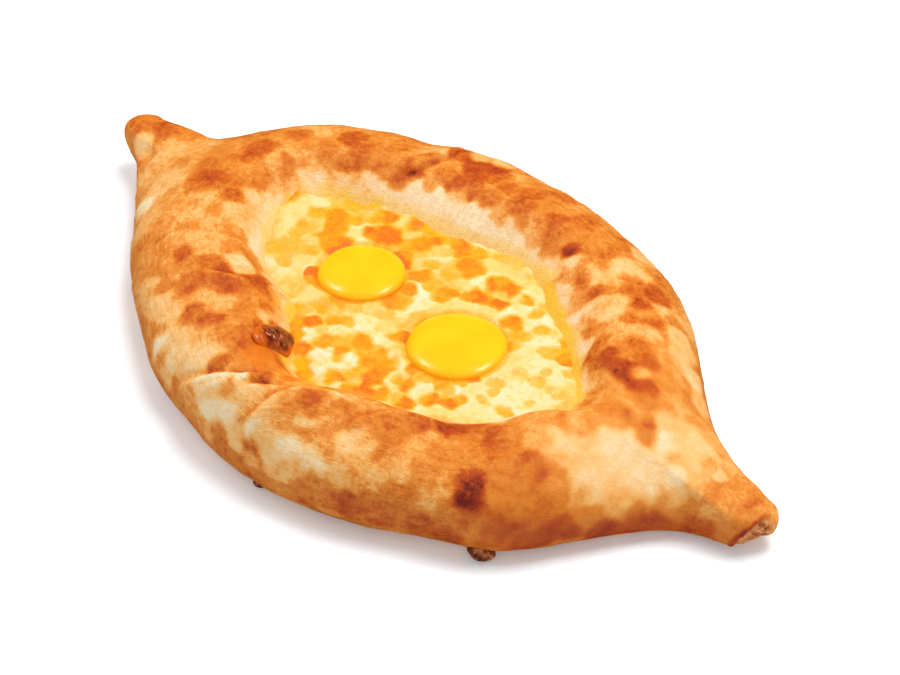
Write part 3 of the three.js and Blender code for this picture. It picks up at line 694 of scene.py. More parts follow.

# %% [markdown]
# ## Browning
#
# An oven browns what stands high and thin, such as crests, folds and bubbles, and leaves the folded sides and
# the wall over the cheese pale. Noise alone would put the brown anywhere. A painter would dab it on by hand
# while looking through the camera, so this is a list of such dabs: how far across and down the camera's frame
# of 900 by 675 steps, how wide, and how brown, from 0 for pale to 1.2 for burnt. A second list holds
# touch-ups, made over a finished picture: each makes the dabs round its place somewhat browner or paler. Some
# of them correct the browning. Others are painted light: they make the crust paler where it lies in shade,
# such as on the steep left end and the right neck, to offset the shading.
#
# Each dab lands on the crust that the camera sees there and stays on it. The dabs are looked up at points
# that noise has pushed aside by about a millimetre, which frays their edges like real blotches. Noise alone
# browns what the camera doesn't see.

# %% Dabs of browning
# across, down, radius, level
BROWNED = np.array([
    # left knob
    (145, 121, 12, 0.66), (170, 126, 12, 0.68), (142, 143, 7, 0.18),
    # left end, and its slope to the cheese
    (186, 131, 7, 0.6), (168, 152, 12, 0.32), (165, 185, 14, 0.25), (142, 225, 10, 0.38),
    (200, 145, 9, 0.32), (260, 148, 7, 0.8), (247, 157, 4, 0.74), (225, 165, 12, 0.58), (211, 164, 7, 0.72),
    (212, 176, 8, 1.0), (200, 181, 9, 0.8), (222, 180, 7, 0.66), (235, 197, 6, 0.76), (257, 176, 7, 0.68),
    (250, 168, 8, 0.44), (176, 188, 7, 0.38), (188, 204, 5, 0.46), (214, 208, 6, 0.52), (200, 212, 14, 0.27),
    (240, 208, 10, 0.16), (262, 205, 9, 0.12), (250, 226, 9, 0.22), (258, 245, 11, 0.04),
    (236, 234, 6, 0.46), (228, 245, 5, 0.6), (188, 226, 7, 0.48), (190, 238, 14, 0.34), (183, 252, 6, 0.85),
    (215, 246, 9, 0.34), (210, 262, 8, 0.72), (224, 270, 7, 0.84), (240, 262, 6, 0.22), (245, 270, 5, 0.3),
    (245, 283, 8, 0.76), (255, 281, 6, 0.9), (264, 290, 6, 0.74), (262, 300, 6, 0.5), (275, 293, 6, 0.3),
    (280, 300, 5, 0.2), (268, 277, 4, 0.25), (266, 307, 5, 0.7), (270, 315, 5, 0.4), (295, 152, 7, 0.32),
    (288, 162, 5, 0.7), (284, 168, 5, 0.64), (277, 163, 6, 0.4), (287, 184, 4, 0.44), (275, 188, 7, 0.26),
    (222, 288, 7, 0.48), (145, 205, 7, 0.2),
    # near side, left half
    (160, 262, 15, 0.55), (145, 262, 10, 0.5), (195, 283, 9, 0.74), (163, 286, 5, 0.66),
    (150, 292, 10, 0.48), (160, 303, 8, 0.2), (170, 318, 9, 0.2), (218, 298, 8, 0.08), (205, 296, 8, 0.36),
    (195, 313, 8, 0.86), (190, 316, 6, 0.75), (208, 318, 8, 0.7), (250, 314, 8, 0.52), (215, 308, 7, 0.38),
    (187, 330, 9, 0.22), (205, 335, 9, 0.3), (220, 334, 8, 0.6), (240, 336, 8, 0.58), (270, 321, 8, 0.2),
    (151, 331, 4, 0.72), (162, 330, 5, 0.5), (180, 350, 9, 0.16), (205, 348, 10, 0.12), (160, 358, 5, 0.6),
    (170, 362, 6, 0.3), (190, 365, 10, 0.28), (217, 361, 6, 0.74), (258, 352, 8, 0.55), (272, 366, 10, 0.55),
    (290, 362, 8, 0.4), (245, 368, 8, 0.5), (300, 375, 9, 0.5), (285, 384, 9, 0.42), (262, 377, 5, 1.05),
    (254, 375, 3, 0.85), (250, 385, 7, 0.3), (240, 376, 8, 0.1), (215, 377, 10, 0.1), (200, 388, 9, 0.16),
    (188, 397, 6, 0.55), (165, 378, 6, 0.5), (230, 388, 8, 0.42), (245, 397, 9, 0.26), (225, 412, 9, 0.26),
    (245, 410, 8, 0.4), (290, 398, 10, 0.5), (305, 401, 6, 0.84), (297, 411, 4, 0.7), (312, 412, 4, 0.68),
    (285, 427, 6, 0.6), (302, 418, 6, 0.14), (285, 441, 9, 0.02), (250, 430, 9, 0.28), (217, 431, 7, 0.78),
    (205, 425, 6, 0.5), (235, 440, 6, 0.45), (252, 445, 8, 0.8), (250, 456, 5, 0.5), (262, 436, 6, 0.22),
    (272, 455, 9, 0.12), (300, 432, 6, 0.5), (316, 463, 9, 0.12), (310, 477, 6, 0.6), (285, 470, 8, 0.32),
    (240, 468, 8, 0.6), (262, 482, 9, 0.62), (300, 492, 10, 0.66), (325, 492, 9, 0.58), (159, 348, 6, 0.1),
    (210, 415, 8, 0.12), (168, 345, 8, 0.2), (285, 365, 6, 0.62), (271, 355, 5, 0.64), (290, 378, 5, 0.6),
    (262, 366, 5, 0.62), (243, 341, 5, 0.74), (246, 330, 4, 0.7), (262, 323, 4, 0.7), (262, 346, 6, 0.7),
    (297, 352, 5, 0.75), (250, 333, 5, 0.6), (262, 331, 5, 0.9), (275, 328, 5, 0.85),
    # near side, right half
    (343, 404, 7, 0.74), (332, 410, 6, 0.42), (365, 408, 8, 0.46), (362, 416, 7, 0.66), (383, 418, 5, 0.66),
    (330, 446, 7, 0.56), (350, 456, 5, 0.4), (345, 444, 7, 0.12), (360, 438, 8, 0.2), (378, 434, 6, 0.84),
    (368, 437, 5, 0.55), (398, 434, 6, 0.7), (375, 450, 6, 0.82), (370, 444, 5, 0.2), (365, 462, 8, 0.34),
    (390, 463, 7, 0.5), (340, 478, 7, 0.42), (357, 479, 6, 0.72), (375, 475, 8, 0.3), (400, 470, 10, 0.4),
    (345, 501, 9, 0.92), (330, 498, 7, 0.75), (390, 492, 8, 0.66), (410, 492, 6, 0.7), (425, 492, 8, 0.36),
    (425, 482, 6, 0.56), (455, 525, 11, 0.62), (360, 508, 8, 0.72), (385, 515, 9, 0.72), (420, 525, 8, 0.78),
    (450, 537, 8, 0.78), (430, 460, 8, 0.56), (415, 455, 9, 0.46), (418, 421, 6, 0.78), (455, 427, 8, 0.9),
    (472, 428, 7, 0.82), (495, 438, 7, 0.9), (498, 446, 5, 0.8), (475, 440, 10, 0.64), (505, 440, 7, 0.6),
    (494, 457, 5, 0.66), (470, 455, 8, 0.58), (455, 470, 9, 0.48), (450, 485, 7, 0.42), (467, 476, 6, 0.95),
    (470, 486, 7, 1.12), (468, 500, 8, 1.1), (510, 480, 10, 0.64), (520, 505, 10, 0.64), (535, 460, 6, 0.78),
    (540, 473, 6, 0.9), (552, 465, 6, 0.62), (530, 475, 7, 0.7), (555, 485, 8, 0.6), (548, 500, 9, 0.7),
    (485, 522, 9, 0.74), (510, 530, 9, 0.8), (535, 522, 9, 0.68), (545, 533, 8, 0.88), (568, 528, 8, 0.88),
    (490, 540, 8, 0.66), (525, 540, 8, 0.82), (590, 518, 8, 0.66), (562, 440, 9, 0.1), (580, 432, 8, 0.14),
    (590, 485, 10, 0.1), (560, 460, 6, 0.3), (585, 493, 5, 0.44), (570, 428, 5, 0.44), (583, 430, 4, 0.42),
    (545, 440, 7, 0.34), (590, 399, 6, 0.86), (582, 403, 6, 0.6), (590, 422, 7, 0.4), (505, 418, 7, 0.1),
    (345, 395, 6, 0.3),
    # far side
    (540, 256, 3, 0.6), (556, 265, 7, 0.3), (548, 270, 6, 0.16), (553, 219, 6, 0.84),
    (558, 236, 8, 0.6), (555, 203, 6, 0.6), (540, 220, 6, 0.5), (522, 225, 6, 0.62), (530, 232, 7, 0.34),
    (530, 243, 5, 0.56), (523, 204, 6, 0.84), (515, 211, 6, 0.78), (530, 195, 5, 0.84), (545, 194, 5, 0.7),
    (550, 188, 5, 0.5), (535, 184, 5, 0.56), (520, 183, 5, 0.5), (510, 188, 6, 0.74), (488, 198, 6, 0.66),
    (500, 178, 6, 0.7), (497, 168, 6, 1.02), (474, 166, 6, 1.0), (478, 178, 6, 0.8), (470, 190, 6, 0.78),
    (456, 184, 6, 0.86), (460, 195, 6, 0.46), (463, 154, 6, 0.86), (440, 165, 6, 0.4), (432, 158, 5, 0.82),
    (430, 150, 6, 0.36), (422, 162, 6, 0.6), (415, 170, 6, 1.0), (430, 168, 5, 0.38), (445, 170, 6, 0.6),
    (400, 146, 5, 0.6), (380, 168, 5, 0.78), (384, 173, 4, 0.6), (375, 158, 7, 0.54), (365, 152, 7, 0.76),
    (348, 166, 7, 0.68), (355, 136, 6, 0.86), (325, 153, 6, 0.64), (325, 165, 7, 0.46), (310, 148, 8, 0.46),
    (300, 134, 6, 0.7), (303, 163, 4, 0.5), (300, 155, 6, 0.24), (312, 162, 7, 0.32), (310, 178, 6, 0.14),
    (320, 185, 7, 0.1), (333, 184, 5, 0.44), (345, 180, 7, 0.16), (355, 187, 6, 0.36), (372, 178, 6, 0.14),
    (345, 192, 6, 0.2), (430, 184, 5, 0.42), (412, 186, 8, 0.08), (400, 200, 12, 0.0), (430, 200, 12, 0.0),
    (420, 212, 10, 0.02), (455, 200, 7, 0.16), (470, 220, 12, 0.0), (490, 230, 12, 0.0), (500, 215, 6, 0.34),
    (510, 222, 6, 0.16), (500, 245, 10, 0.0), (520, 250, 8, 0.08), (532, 258, 6, 0.12), (515, 232, 6, 0.16),
    (400, 181, 6, 0.42), (500, 165, 5, 0.3), (480, 156, 4, 0.45),
    # right end and its slope to the cheese
    (600, 530, 9, 0.92), (600, 470, 14, 0.04), (640, 470, 14, 0.03), (620, 500, 9, 0.16),
    (615, 450, 12, 0.04), (615, 418, 7, 0.46), (610, 408, 7, 0.6), (625, 413, 6, 0.76), (640, 405, 8, 0.5),
    (652, 407, 5, 0.68), (640, 415, 6, 0.44), (647, 424, 6, 0.84), (648, 436, 6, 0.72), (665, 420, 8, 0.32),
    (665, 408, 7, 0.5), (680, 405, 8, 0.38), (690, 402, 5, 0.5), (702, 405, 6, 0.32), (695, 378, 5, 0.3),
    (683, 380, 6, 0.42), (690, 350, 6, 0.22), (680, 360, 8, 0.2), (695, 352, 4, 0.4), (632, 343, 7, 0.78),
    (620, 338, 6, 0.5), (620, 328, 7, 0.4), (640, 330, 10, 0.34), (672, 362, 7, 0.42), (646, 360, 7, 0.74),
    (640, 372, 5, 0.24), (670, 380, 8, 0.5), (643, 387, 7, 0.92), (645, 396, 7, 0.76), (605, 395, 7, 0.46),
    (625, 365, 7, 0.8), (605, 357, 8, 1.0), (598, 363, 6, 0.9), (588, 369, 6, 0.94), (600, 347, 6, 0.64),
    (600, 378, 7, 0.46), (588, 380, 7, 0.34), (630, 355, 7, 0.6), (600, 328, 5, 0.68), (585, 337, 4, 0.7),
    (610, 326, 6, 0.5), (597, 308, 5, 0.36), (603, 303, 5, 0.34), (612, 312, 8, 0.14), (620, 300, 7, 0.3),
    (577, 328, 4, 0.62), (585, 318, 5, 0.66), (572, 335, 6, 0.1), (580, 350, 7, 0.12), (578, 365, 5, 0.3),
    (565, 305, 4, 0.3), (572, 304, 4, 0.55), (575, 295, 7, 0.6), (568, 295, 5, 0.3), (590, 310, 6, 0.14),
    (598, 291, 6, 0.92), (608, 290, 6, 0.56), (580, 280, 6, 0.94), (586, 277, 5, 0.82), (570, 277, 6, 0.5),
    (590, 272, 7, 0.36), (565, 290, 6, 0.16), (612, 280, 8, 0.36), (620, 268, 8, 0.16), (635, 272, 8, 0.2),
    (648, 272, 6, 0.42), (625, 277, 5, 0.74), (632, 279, 4, 0.6), (622, 290, 8, 0.76), (655, 293, 6, 1.0),
    (662, 297, 5, 0.85), (660, 282, 6, 0.62), (670, 295, 6, 0.6), (638, 303, 6, 0.86), (630, 318, 6, 0.7),
    (645, 312, 7, 0.46), (650, 322, 7, 0.72), (678, 325, 6, 0.5), (680, 340, 6, 0.22), (685, 325, 5, 0.3),
    (645, 258, 6, 0.34), (605, 252, 6, 0.66), (600, 262, 7, 0.56), (585, 265, 7, 0.54), (620, 244, 6, 0.7),
    (612, 240, 6, 0.6), (600, 245, 7, 0.5), (572, 247, 6, 1.1), (560, 245, 8, 0.52), (590, 226, 7, 0.72),
    (600, 230, 6, 0.62), (580, 240, 8, 0.5), (560, 208, 6, 0.5), (562, 196, 6, 0.7), (663, 440, 7, 0.32),
    (693, 378, 6, 0.12), (630, 370, 7, 0.85), (590, 275, 6, 0.15), (575, 262, 5, 0.15), (600, 300, 5, 0.2),
    (575, 320, 5, 0.15),
    # right knob and the pale neck before it
    (635, 508, 9, 0.66), (635, 525, 8, 0.84), (655, 518, 8, 0.76), (665, 505, 8, 0.6), (700, 525, 7, 0.82),
    (690, 505, 7, 0.66), (705, 508, 6, 0.46), (640, 490, 12, 0.07), (690, 440, 10, 0.12), (700, 460, 9, 0.2),
    (710, 440, 6, 0.34), (680, 493, 5, 0.56), (700, 490, 7, 0.42), (712, 495, 7, 0.66), (708, 466, 4, 0.46),
    (720, 478, 3, 0.6), (735, 470, 7, 0.5), (740, 482, 7, 0.6), (745, 512, 9, 0.64), (730, 508, 8, 0.5),
    (730, 530, 6, 0.6), (676, 480, 6, 0.2),
])
# change of level: where it is strongest as across, down and reach
# touch-ups: some correct the browning, and those that pale the crust where it lies in shade are painted light
BROWNING_AND_LIGHT_TOUCHES = {
    -0.3: [(225, 420, 9)],
    -0.28: [(670, 490, 14)],
    -0.25: [(205, 410, 14), (687, 520, 8)],
    -0.22: [(590, 328, 8), (722, 475, 12)],
    -0.2: [
        (228, 422, 16), (262, 380, 8), (285, 412, 12), (500, 418, 8), (500, 418, 9), (510, 245, 10),
        (590, 285, 12), (650, 297, 8), (655, 425, 8), (658, 435, 8), (660, 435, 9), (700, 500, 9),
        (658, 435, 8),
    ],
    -0.18: [(355, 472, 10), (752, 500, 12)],
    -0.15: [
        (145, 215, 14), (150, 345, 14), (160, 350, 10), (175, 372, 14), (180, 392, 10), (215, 415, 8),
        (220, 258, 8), (240, 250, 8), (243, 435, 10), (285, 430, 16), (360, 488, 8), (385, 445, 10),
        (388, 430, 12), (395, 207, 10), (410, 470, 14), (415, 465, 10), (480, 158, 12), (480, 238, 10),
        (500, 416, 9), (505, 415, 10), (508, 166, 8), (562, 275, 10), (575, 300, 12), (590, 358, 8),
        (592, 328, 8), (595, 360, 8), (620, 330, 12), (640, 335, 10), (655, 430, 7), (660, 425, 8),
        (675, 492, 12), (727, 478, 8),
    ],
    -0.14: [(350, 490, 14), (590, 512, 12)],
    -0.13: [(180, 372, 12), (260, 182, 8), (415, 165, 12)],
    -0.12: [
        (140, 290, 12), (140, 300, 12), (150, 130, 8), (150, 330, 12), (150, 345, 12), (155, 222, 10),
        (180, 360, 12), (200, 180, 6), (220, 252, 8), (228, 422, 10), (238, 432, 12), (240, 250, 8),
        (240, 430, 10), (245, 250, 8), (250, 270, 6), (253, 458, 8), (300, 465, 14), (325, 432, 12),
        (375, 438, 10), (455, 200, 10), (455, 427, 7), (455, 493, 5), (455, 495, 6), (490, 240, 16),
        (525, 197, 12), (525, 457, 8), (552, 275, 10), (560, 335, 10), (590, 328, 8), (592, 325, 6),
        (615, 275, 8), (620, 277, 6), (620, 278, 6), (660, 510, 8), (725, 478, 10), (730, 480, 10),
    ],
    -0.1: [
        (145, 300, 12), (155, 322, 6), (160, 132, 8), (165, 375, 12), (185, 312, 8), (190, 385, 10),
        (222, 256, 7), (240, 250, 10), (240, 435, 12), (245, 250, 8), (255, 390, 8), (255, 458, 8),
        (258, 270, 6), (285, 415, 8), (305, 450, 12), (330, 432, 12), (345, 482, 10), (345, 488, 10),
        (350, 425, 10), (400, 205, 10), (400, 445, 8), (410, 462, 8), (440, 490, 10), (455, 495, 6),
        (480, 440, 6), (510, 250, 8), (550, 275, 10), (555, 478, 10), (560, 310, 10), (560, 490, 10),
        (562, 252, 8), (565, 472, 8), (575, 325, 8), (590, 358, 6), (600, 225, 8), (640, 255, 10),
        (640, 405, 10), (660, 510, 6), (680, 490, 10), (690, 495, 10), (695, 490, 10), (715, 470, 9),
        (725, 505, 15),
    ],
    -0.08: [
        (135, 150, 8), (140, 240, 10), (145, 205, 8), (160, 132, 8), (175, 380, 12), (215, 365, 8),
        (245, 390, 8), (260, 183, 8), (260, 415, 10), (285, 172, 8), (285, 412, 8), (290, 412, 8),
        (290, 418, 10), (305, 480, 10), (335, 430, 12), (345, 488, 9), (360, 470, 10), (385, 470, 12),
        (395, 485, 12), (412, 465, 8), (530, 455, 8), (560, 425, 8), (560, 470, 8), (570, 485, 8),
        (590, 357, 6), (590, 510, 8), (605, 335, 8), (615, 235, 10), (645, 250, 8), (700, 380, 6),
        (700, 380, 8),
    ],
    -0.07: [(235, 180, 8)],
    -0.06: [
        (140, 300, 12), (160, 190, 10), (180, 392, 10), (215, 415, 8), (260, 132, 10), (480, 243, 12),
        (520, 240, 12), (625, 378, 6), (700, 410, 8), (740, 490, 10),
    ],
    -0.05: [(150, 250, 12), (150, 300, 12), (252, 385, 8)],
    0.04: [(350, 200, 10)],
    0.05: [
        (140, 230, 10), (155, 155, 8), (175, 175, 8), (185, 335, 6), (255, 445, 8), (300, 420, 10),
        (570, 245, 8), (570, 525, 10), (575, 455, 12), (590, 250, 8), (640, 478, 12), (650, 522, 12),
    ],
    0.06: [
        (245, 415, 12), (303, 145, 8), (395, 182, 8), (420, 158, 8), (460, 165, 8), (570, 375, 9),
        (590, 240, 10), (645, 325, 8), (688, 490, 8),
    ],
    0.07: [(665, 462, 12)],
    0.08: [
        (150, 310, 12), (165, 262, 6), (175, 180, 8), (205, 318, 6), (205, 325, 10), (232, 335, 10),
        (300, 362, 14), (320, 133, 10), (345, 500, 12), (400, 182, 7), (455, 212, 8), (455, 538, 20),
        (460, 445, 8), (480, 178, 8), (565, 235, 14), (585, 425, 8), (590, 430, 8), (605, 440, 10),
        (610, 265, 14), (650, 520, 14), (655, 360, 8), (660, 325, 6), (665, 450, 12), (700, 440, 8),
    ],
    0.1: [
        (215, 400, 14), (220, 288, 8), (222, 288, 8), (222, 290, 8), (232, 208, 8), (258, 345, 8),
        (262, 365, 8), (270, 200, 20), (283, 362, 8), (295, 148, 8), (300, 195, 10), (305, 145, 6),
        (400, 182, 6), (400, 182, 7), (415, 412, 8), (443, 160, 8), (455, 440, 8), (457, 420, 7),
        (475, 500, 8), (495, 215, 8), (500, 540, 20), (540, 540, 20), (600, 470, 14), (620, 510, 7),
        (620, 535, 20), (640, 438, 8), (645, 330, 6), (690, 492, 8),
    ],
    0.12: [
        (225, 347, 7), (245, 373, 6), (260, 312, 6), (265, 352, 8), (270, 470, 8), (285, 355, 8),
        (397, 182, 6), (455, 420, 8), (575, 415, 10), (620, 508, 6), (620, 510, 8), (660, 530, 20),
        (678, 485, 9), (690, 478, 8),
    ],
    0.14: [(165, 345, 13)],
    0.15: [
        (170, 125, 6), (247, 327, 6), (275, 295, 6), (285, 325, 6), (290, 368, 8), (300, 375, 7),
        (455, 418, 8),
    ],
    0.18: [(282, 295, 6), (460, 455, 10)],
    0.2: [(220, 290, 8), (270, 350, 6), (295, 350, 8), (455, 418, 10), (620, 508, 7)],
    0.22: [(257, 315, 7), (630, 370, 9)],
}


def frayed(points, far, size):
    """The points pushed aside by noise: up to far millimetres, in lumps of the given size."""
    return points + far * np.stack([cloud(points, size, shift) for shift in (3.1, 7.7, 12.3)], -1)


def blurred(values, times=12):
    """Each value averaged with its neighbours round the boat and along the section, over and over."""
    for _ in range(times):
        values = (np.roll(values, 1, 0) + values + np.roll(values, -1, 0)) / 3
        padded = np.pad(values, ((0, 0), (1, 1)), "edge")
        values = (padded[:, :-2] + values + padded[:, 2:]) / 3
    return values


# %% Browning of the crust
EVEN_WEIGHT, BROWN_SHARPEN = 0.0012, 0.12
unseen = 0.5 + 0.2 * cloud(formed, 22) + 0.15 * cloud(formed, 9) + 0.2 * (1 - smooth(0, 9, high))
looked_up = frayed(frayed(formed, 1.2, 9), 0.6, 3.5)
browning = patched(looked_up, laid_on(formed, touched_up(BROWNED, BROWNING_AND_LIGHT_TOUCHES)), unseen, EVEN_WEIGHT)
browning = browning + BROWN_SHARPEN * (browning - blurred(browning))
print("browning from", browning.min().round(2), "to", browning.max().round(2))

# %% [markdown]
# ## Browning and painted shade that follow the relief
#
# Grooves and hollows get painted shade: the browning is raised where the relief lies below its blurred self
# and lowered a little on ridges. The tops of bubbles brown first. Butter soaks the foot of the wall round the
# cheese, and it ran over the near rim beside the scorched blister, where it fried the crust amber.

# %% Colour levels of the crust
# across, down, radius, strength
BUTTERED = np.array([
    (291, 196, 6, 0.9), (300, 188, 8, 0.3), (330, 190, 10, 0.25), (345, 195, 8, 0.3), (378, 204, 5, 0.5),
    (280, 211, 4, 0.6), (274, 245, 4, 0.6), (269, 268, 4, 0.7), (265, 300, 5, 0.3), (276, 302, 6, 0.8),
    (285, 308, 5, 0.8), (295, 319, 6, 0.9), (293, 330, 5, 0.8), (300, 345, 6, 0.8), (298, 362, 7, 1.0),
    (288, 372, 8, 1.0), (300, 374, 8, 1.0), (283, 369, 7, 0.8), (262, 348, 9, 1.0), (275, 352, 9, 1.0),
    (285, 360, 10, 1.0), (270, 362, 10, 0.9), (255, 358, 8, 0.8), (298, 366, 9, 1.0), (312, 381, 8, 1.0),
    (290, 379, 8, 0.9), (305, 389, 6, 0.6), (325, 389, 6, 0.8), (340, 392, 5, 0.4), (248, 350, 8, 0.5),
    (545, 268, 6, 0.5), (553, 275, 6, 0.8), (550, 290, 6, 0.9), (556, 300, 6, 0.8), (560, 312, 5, 0.6),
    (566, 330, 4, 0.4), (296, 336, 6, 0.9), (299, 350, 6, 0.9), (272, 358, 8, 0.8), (262, 364, 7, 0.8),
    (290, 352, 7, 1.0), (280, 378, 6, 0.7), (303, 379, 6, 0.9), (318, 387, 6, 0.6), (287, 293, 6, 0.8),
    (289, 306, 6, 0.7), (291, 321, 6, 0.7), (296, 350, 6, 0.8), (315, 381, 6, 0.7),
])
# lowest and highest place over which each effect fades in
ON_WALL, FOOT_TOP, PALE_FOOT = (0.1, 0.2), (LEVEL + 2.0, LEVEL + 6.0), (LEVEL + 3, LEVEL + 9)
FAR_RIGHT_X, FAR_RIGHT_Y = (15, 40), (-30, 0)
DARK_SPECKS, PALE_SPECKS = (0.25, 0.6), (0.3, 0.6)
# share of each in the browning
SPECKLED, UNEVEN, ON_BUBBLES, SHADE_IN_HOLLOWS, ON_RIDGE = 0.06, 0.04, 0.1, 0.3, 0.45

wet = heaped(looked_up, laid_on(formed, BUTTERED))
on_wall = smooth(*ON_WALL, inner_share + 0.05 * cloud(formed, 4.5) + 0.03 * cloud(formed, 2.1))
wall_foot = on_wall * (1 - smooth(*FOOT_TOP, high + 1.3 * cloud(formed, 5)))
far_right = smooth(*FAR_RIGHT_X, formed_x) * smooth(*FAR_RIGHT_Y, formed_y)
butter = np.clip(wet + (0.4 + 0.5 * far_right) * wall_foot, 0, 1)

relief = big_relief * clear_of_filling + fine_relief
# painted shade: how far the relief lies below its blurred self, darker in hollows and a little paler on
# ridges
hollow_shade = np.clip(blurred(relief, 4) - relief, -0.5, 0.7)
dark_specks = smooth(*DARK_SPECKS, cloud(looked_up, 4.2, 1.7))
pale_specks = smooth(*PALE_SPECKS, cloud(looked_up, 5.1, 8.8))
speckle = SPECKLED * (dark_specks - 0.7 * pale_specks) + UNEVEN * cloud(formed, 2.4, 3.3)
browning = browning + speckle * (0.35 + smooth(0.05, 0.4, browning))
# the hollows get painted shade as extra browning, and the ridges a little painted light
browning = browning + ON_BUBBLES * bubbles + SHADE_IN_HOLLOWS * hollow_shade * over_table + ON_RIDGE * ridge
browning = browning * (1 - 0.75 * on_wall * (1 - smooth(*PALE_FOOT, high + 2 * cloud(formed, 4))))
browning = np.clip(browning, 0, BURNT)


def with_base(values):
    """The levels of the base edge carried on to the base inside it."""
    return np.concatenate([values[:, :1], values], 1)


# where the dough was stretched over the rim, where the far wall is bare, and the even skin of the right neck
STRETCHED_TO, NECK_FROM, NECK_TO = (84, 112), (88, 104), (138, 148)
BARE_FROM, BARE_TO, BARE_SIDE = (-66, -50), (18, 36), (0, 20)

steps_round = np.linalg.norm(np.roll(formed, -1, 0) - formed, axis=-1)
rim_length = steps_round[:, INNER_FROM].sum()
turns = TAU * np.cumsum(steps_round[:, INNER_FROM])[:, None] / rim_length * np.ones_like(high)
steps_over = np.linalg.norm(np.diff(formed, axis=1, prepend=formed[:, :1]), axis=-1)
walked = np.cumsum(steps_over, 1)
over_rim = walked - walked[:, INNER_FROM : INNER_FROM + 1]
stretched = (1 - smooth(*STRETCHED_TO, np.abs(formed_x))) * over_table
lively = 1 - 0.6 * smooth(*NECK_FROM, formed_x) * (1 - smooth(*NECK_TO, formed_x))
far_wall = smooth(*BARE_FROM, formed_x) * (1 - smooth(*BARE_TO, formed_x)) * smooth(*BARE_SIDE, formed_y)
bare = on_wall * stretched * (0.35 + 0.65 * far_wall)
crust_levels = {
    "browning": browning, "butter": butter, "crumb": crumb, "wall": bare, "lively": lively,
    "round_x": rim_length / TAU * np.cos(turns), "round_y": rim_length / TAU * np.sin(turns),
    # the last level browns the crust towards the table: painted shade under the belly, partly a browner baked
    # underside
    "over_rim": over_rim, "stretched": stretched, "near_table": 1 - smooth(4, 20, high),
}
crust_levels = {name: with_base(values) for name, values in crust_levels.items()}
print("butter covers", round(100 * float((butter > 0.5).mean()), 1), "% of the points")

# %% [markdown]
# ## The crust's finish
#
# Crust is a dry, slightly waxy skin. Its colour runs from cream over gold and fox brown to almost black, so
# one colour ramp over the browning level gives every tone, and finer noise in the shader breaks the level up
# into the freckles that the grid is too coarse for. Dough that was stretched over the rim keeps fine creases
# along it, and on the bare wall the crumb is drawn out across it, so two noises follow those two directions.
# Butter soaks in and turns pale crust yellow and brown crust amber, and it lies on top as a shiny coat. A
# little light goes into bread and comes out again, which the shader's fixed subsurface gives.

# %% Crust finish
crust = Finish(
    "crust", Subsurface_Weight=0.1, Subsurface_Radius=(1.0, 0.55, 0.25), Subsurface_Scale=0.002,
    Specular_IOR_Level=0.25, Coat_Roughness=0.22,
)
level, butter_level, crumb_level = (crust.attribute(name) for name in ("browning", "butter", "crumb"))
bare_wall, creased = crust.attribute("wall"), crust.attribute("stretched")
round_x, round_y, over = (crust.attribute(name) for name in ("round_x", "round_y", "over_rim"))


def streaks(along, across):
    """Noise whose lumps have one size along the rim and another across it, in mm. The way round the rim is
    laid out as a circle of the rim's length, so that it meets itself again."""
    place = crust.node("ShaderNodeCombineXYZ", {}, {0: round_x / along, 1: round_y / along, 2: over / across})
    inputs = {"Vector": place, "Scale": 1.0, "Detail": 3.0, "Roughness": 0.6}
    return crust.node("ShaderNodeTexNoise", {}, inputs)


creases = streaks(7.0, 1.3)
fibres = streaks(1.7, 5.0)
freckles = crust.noise(2.0, 3.0, 0.62)
grain = crust.noise(0.7, 2.0, 0.6)
blotches = crust.noise(6.0, 2.0, 0.55)
strength = (level.between(0.0, 0.35) * 0.6 + 0.4) * crust.attribute("lively")
on_crust = creased * (1 - bare_wall)
mottle = (freckles - 0.5) * 0.54 + (grain - 0.5) * 0.34 + (blotches - 0.5) * 0.14
mottle = mottle + (creases - 0.5) * on_crust * 0.28
spots = crust.noise(3.4, 1.0).between(0.60, 0.72)
# a little browner towards the table: painted shade under the belly, partly a browner baked underside
toned = level + (mottle + spots * 0.12) * strength + crust.attribute("near_table") * 0.03
tone = crust.ramp(toned / BURNT, [
    (0.00, paint(228, 206, 166)),
    (0.12, paint(230, 180, 114)),
    (0.26, paint(227, 161, 81)),
    (0.40, paint(215, 130, 43)),
    (0.53, paint(204, 114, 26)),
    (0.67, paint(188, 84, 9)),
    (0.83, paint(168, 60, 5)),
    (1.00, paint(110, 24, 8)),
])
drawn_out = crust.ramp(fibres * 0.6 + freckles * 0.4, [
    (0.30, paint(220, 188, 138)),
    (0.65, paint(240, 220, 184)),
])
pale_wall = bare_wall * (1 - (level + (freckles - 0.5) * 0.4).between(0.08, 0.24))
tone = crust.blend(pale_wall * 0.85, tone, drawn_out)
soaked = crust.blend(butter_level, tone, paint(255, 228, 110), "MULTIPLY")
oily = butter_level * (freckles.between(0.3, 0.6) * 0.3 + 0.45)
oil = crust.blend(level.between(0.2, 0.55), paint(240, 194, 40), paint(226, 122, 6))
buttered = crust.blend(oily, soaked, oil)
crumb_tone = crust.ramp(crust.noise(2.4, 2.0), [
    (0.32, paint(100, 44, 20)),
    (0.46, paint(180, 100, 50)),
    (0.62, paint(226, 160, 98)),
])
colour = crust.blend(crumb_level, buttered, crumb_tone)
skin = (creases - 0.5) * on_crust * 1.2 + (fibres - 0.5) * bare_wall * 0.6 + freckles * 0.8 + grain * 0.6
crust.use(Base_Color=colour, Roughness=0.5, Coat_Weight=butter_level * 0.7, Normal=crust.bump(skin, 0.42))

bread_mesh = closed_mesh("bread_mesh", crust_grid, (0, 0, 0), (0, 0, FLOOR), **crust_levels)
add_piece("crust_of_bread", bread_mesh, crust, ["bread"])

